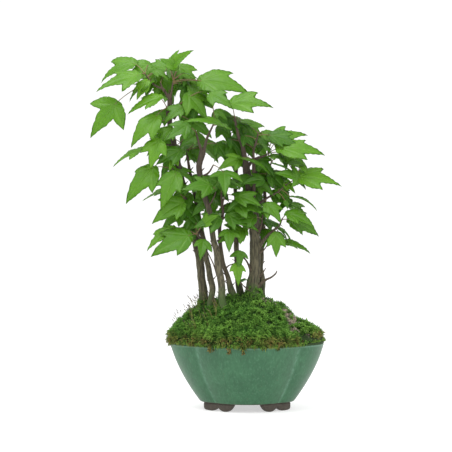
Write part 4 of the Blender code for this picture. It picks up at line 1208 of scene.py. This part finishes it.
def leaf(junction, tip, upper_side, side_angle, tint, seed, lobe_sizes):
    """A three-lobed blade, as one closed lens: its upper side out to the edge, then its underside back.

    A point at (along, side), as shares of its length, rises by an arch along the middle lobe, a fold up from
    it, a droop towards the side lobes, a twist and a wavy edge, less a groove on each lobe's rib."""
    random = np.random.default_rng(seed)
    length = np.linalg.norm(tip - junction)
    forward = unit(tip - junction)
    normal = unit(np.asarray(upper_side) + random.normal(0, 0.07, 3))
    normal = unit(normal - normal @ forward * forward)
    axes = np.stack([forward, np.cross(normal, forward), normal])
    angle, reach = leaf_outline(side_angle, lobe_sizes, random)
    share = ((np.arange(1, LEAF_RINGS + 1) / LEAF_RINGS) ** 0.9)[:, None]
    radial = share * reach
    along, side = radial * np.cos(angle), radial * np.sin(angle)
    on_rib, from_rib = rib_places(angle, radial, side_angle)
    up_ribs = on_rib - 0.8 * from_rib
    vein = SIDE_VEINS * up_ribs
    arch, fold, droop = random.uniform(0.04, 0.12), random.uniform(0.14, 0.32), random.uniform(0.3, 0.75)
    rise = 4 * arch * along * (1 - along) + fold * np.abs(side) - droop * side**2
    rise += random.normal(0, 0.10) * along * side
    rise += 0.016 * share**2 * np.sin(7 * angle + random.uniform(0, PHASES))
    rise += 0.010 * np.cos(44 * up_ribs) * smooth_step(from_rib, 0.0, 0.05) * share
    rise -= 0.014 * np.exp(-((from_rib / 0.02) ** 2))
    thickness = LEAF_THICKNESS / length * np.sqrt(np.clip(1 - share**3, 0, 1))
    top = np.stack([along, side, rise + thickness / 2], -1)
    under = np.stack([along, side, rise - thickness / 2], -1)[-2::-1]
    rings = junction + np.concatenate([top, under]) * length @ axes
    half = LEAF_THICKNESS / 2
    rib = np.exp(-((from_rib / (0.012 + 0.01 * (1 - on_rib))) ** 2)) * smooth_step(1.0 - share, 0, 0.2)
    is_upper = np.arange(len(rings))[:, None] < LEAF_RINGS
    return ring_body(
        rings,
        junction + normal * half,
        junction - normal * half,
        tint=np.full(rings.shape[:2], tint + random.normal(0, 0.06)),
        upper=np.where(is_upper, 1.0, np.zeros(LEAF_AROUND)),
        rib=both_sides(rib),
        vein=both_sides(vein),
    )


def petiole(start, junction, inside):
    """A thin stalk bowed upwards, a little thicker where it leaves the twig, its end inside the blade."""
    bow = np.array([0, 0, 0.07 * np.linalg.norm(junction - start)])
    t = np.linspace(0, 1, 9)[:, None]
    path = start + (junction - start) * t + bow * 4 * t * (1 - t)
    path = np.concatenate([path, inside[None]])
    radius = PETIOLE_RADIUS * np.interp(np.arange(10), [0, 1, 7, 9], [1.9, 1.1, 0.95, 0.7])
    rings = sweep(path, radius, 8)
    blank = np.zeros(rings.shape[:2])
    return ring_body(rings, path[0], path[-1], tint=blank, upper=blank, rib=blank, vein=blank)


def whole_leaf(junction, tip, upper_side, side_angle, tint, seed, twig_points, lobe_sizes=(1, 1)):
    """The blade and its petiole, which starts at the nearest bark. Bark above the blade counts as further."""
    away = np.linalg.norm(twig_points - junction, axis=1)
    above = np.maximum(twig_points[:, 2] - junction[2], 0)
    nearest = twig_points[(away + 0.25 * above).argmin()]
    blade = leaf(junction, tip, upper_side, side_angle, tint, seed, lobe_sizes)
    stalk = petiole(nearest, junction, junction + unit(tip - junction) * PETIOLE_OVERLAP)
    return [blade, stalk]


def leaf_piece(name, bodies, materials, nodes=()):
    """Blades and petioles in turn, as one piece."""
    quads = [np.full(len(body[1][0]), k % 2) for k, body in enumerate(bodies)]
    fans = [np.full(len(body[1][1]), k % 2) for k, body in enumerate(bodies)]
    new_piece(name, joined(bodies), materials, nodes, np.concatenate(quads + fans))


def skeleton():
    """Points along every twig, and along the upper trunks, from which leaves can grow."""
    lines = [placed(curve_through(twig, 1.0)[2:]) for twigs in TWIGS.values() for twig in twigs]
    lines += [placed(curve_through(rows, 2.0)[len(rows) * 6 :]) for rows in TRUNKS.values()]
    return np.concatenate(lines)


def inner_leaves(twig_points):
    """Leaves inside and behind the crown: each near a twig, within the crown's sides, clear of the gaps."""
    random = np.random.default_rng(5)
    heights, lefts, rights = np.array(CROWN_SIDES, float).T
    found = []
    while len(found) < INNER_LEAVES:
        height = random.uniform(heights[0], heights[-1])
        x = random.uniform(np.interp(height, heights, lefts), np.interp(height, heights, rights))
        y = random.uniform(*INNER_LEAF_DEPTHS)
        turn = random.uniform(-1.2, 1.2)
        length = random.uniform(*INNER_LEAF_LENGTHS)
        start = np.array([x, y, height])
        tip = start + length * np.array([math.sin(turn), 0.35 * random.normal(), -0.75])
        middle = (start[[0, 2]] + tip[[0, 2]]) / 2
        if any(np.hypot(*(middle - gap[:2])) < gap[2] + GAP_CLEARANCE for gap in SKY_GAPS):
            continue
        if tip[2] < LOWEST_TIP or np.linalg.norm(twig_points - placed(start), axis=1).min() > TWIG_REACH:
            continue
        upper = unit(np.array([0.5 * math.sin(turn), -0.5 + 1.1 * (y > 16), 0.7]))
        side_angle, tint = random.uniform(34, 54), random.uniform(0.0, 0.45)
        found.append((placed(start), placed(tip), upper, side_angle, tint))
    return found


def make_leaves(leaf_green, stalk):
    """The CAD's leaves, each a piece of its own, and the others in four pieces."""
    twig_points = skeleton()
    for number, (junction, tip, *look) in enumerate(LEAVES, 1):
        sizes = UNEVEN_LEAVES.get(number, (1, 1))
        bodies = whole_leaf(placed(junction), placed(tip), *look, 1000 + number, twig_points, sizes)
        leaf_piece(f"maple_leaf_{number:02d}", bodies, [leaf_green, stalk], [f"leaf_{number:02d}"])
    more = [(placed(junction), placed(tip), *look) for junction, tip, *look in MORE_LEAVES]
    for name, rows in (("front_leaves", more), ("inner_leaves", inner_leaves(twig_points))):
        bodies = []
        for number, row in enumerate(rows):
            bodies += whole_leaf(*row, 2000 + 3 * number + len(name), twig_points)
        half = len(bodies) // 4 * 2
        leaf_piece(f"{name}_a", bodies[:half], [leaf_green, stalk])
        leaf_piece(f"{name}_b", bodies[half:], [leaf_green, stalk])


# ---- surroundings ----


def make_floor():
    """A pale floor that glows a little, so that it is nearly as bright as the background."""
    material, tree, shader, _ = new_material("pale_floor")
    set_surface(tree, shader, (0.55, 0.55, 0.55), 0.9)
    connect(tree, (1, 1, 1), shader.inputs["Emission Color"])
    connect(tree, 0.55, shader.inputs["Emission Strength"])
    bpy.ops.mesh.primitive_plane_add(size=12)
    floor = bpy.context.object
    floor.name = "floor"
    floor.data.materials.append(material)


def make_background(scene):
    """White all round."""
    world = bpy.data.worlds.new("pale_studio")
    world.use_nodes = True
    background = world.node_tree.nodes["Background"]
    background.inputs["Color"].default_value = (1, 1, 1, 1)
    background.inputs["Strength"].default_value = 1.06
    scene.world = world


def make_lights(scene):
    """Soft round lights above and in front, which point at the foot of the crown."""
    aim = Vector((POT_X, 0, 0.12))
    for name, place, diameter, power in LIGHTS:
        light = bpy.data.lights.new(name, "AREA")
        light.shape = "DISK"
        light.size = diameter
        light.energy = power
        lamp = bpy.data.objects.new(name, light)
        lamp.location = place
        lamp.rotation_euler = (aim - Vector(place)).to_track_quat("-Z", "Y").to_euler()
        scene.collection.objects.link(lamp)


def make_camera(scene):
    """A level camera in front."""
    camera = bpy.data.cameras.new("camera")
    camera.lens = CAMERA_LENS
    camera.sensor_width = 36
    stand = bpy.data.objects.new("camera", camera)
    stand.location = CAMERA_PLACE
    stand.rotation_euler = (math.pi / 2, 0, 0)
    scene.collection.objects.link(stand)
    scene.camera = stand


# ---- the whole ----

clay = make_clay()
make_pot(make_glaze(), clay)
make_feet(clay)
make_mound(make_moss_bed(), make_soil_material())
make_tufts(make_moss_tuft())
make_spore_stalks(make_stalk_material())
make_grit(make_plain("soil_grain", (0.30, 0.25, 0.18), 0.95))
make_trees(make_bark())
make_leaves(make_leaf_material(), make_petiole_material())
plastic = make_plain("screen_plastic", (0.02, 0.02, 0.022), 0.5)
for side in ("left", "right"):
    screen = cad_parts[f"drain_screen_{side}"]
    screen.data.materials.clear()
    screen.data.materials.append(plastic)

scene = bpy.context.scene
scene.view_settings.view_transform = "Standard"
make_floor()
make_background(scene)
make_lights(scene)
make_camera(scene)
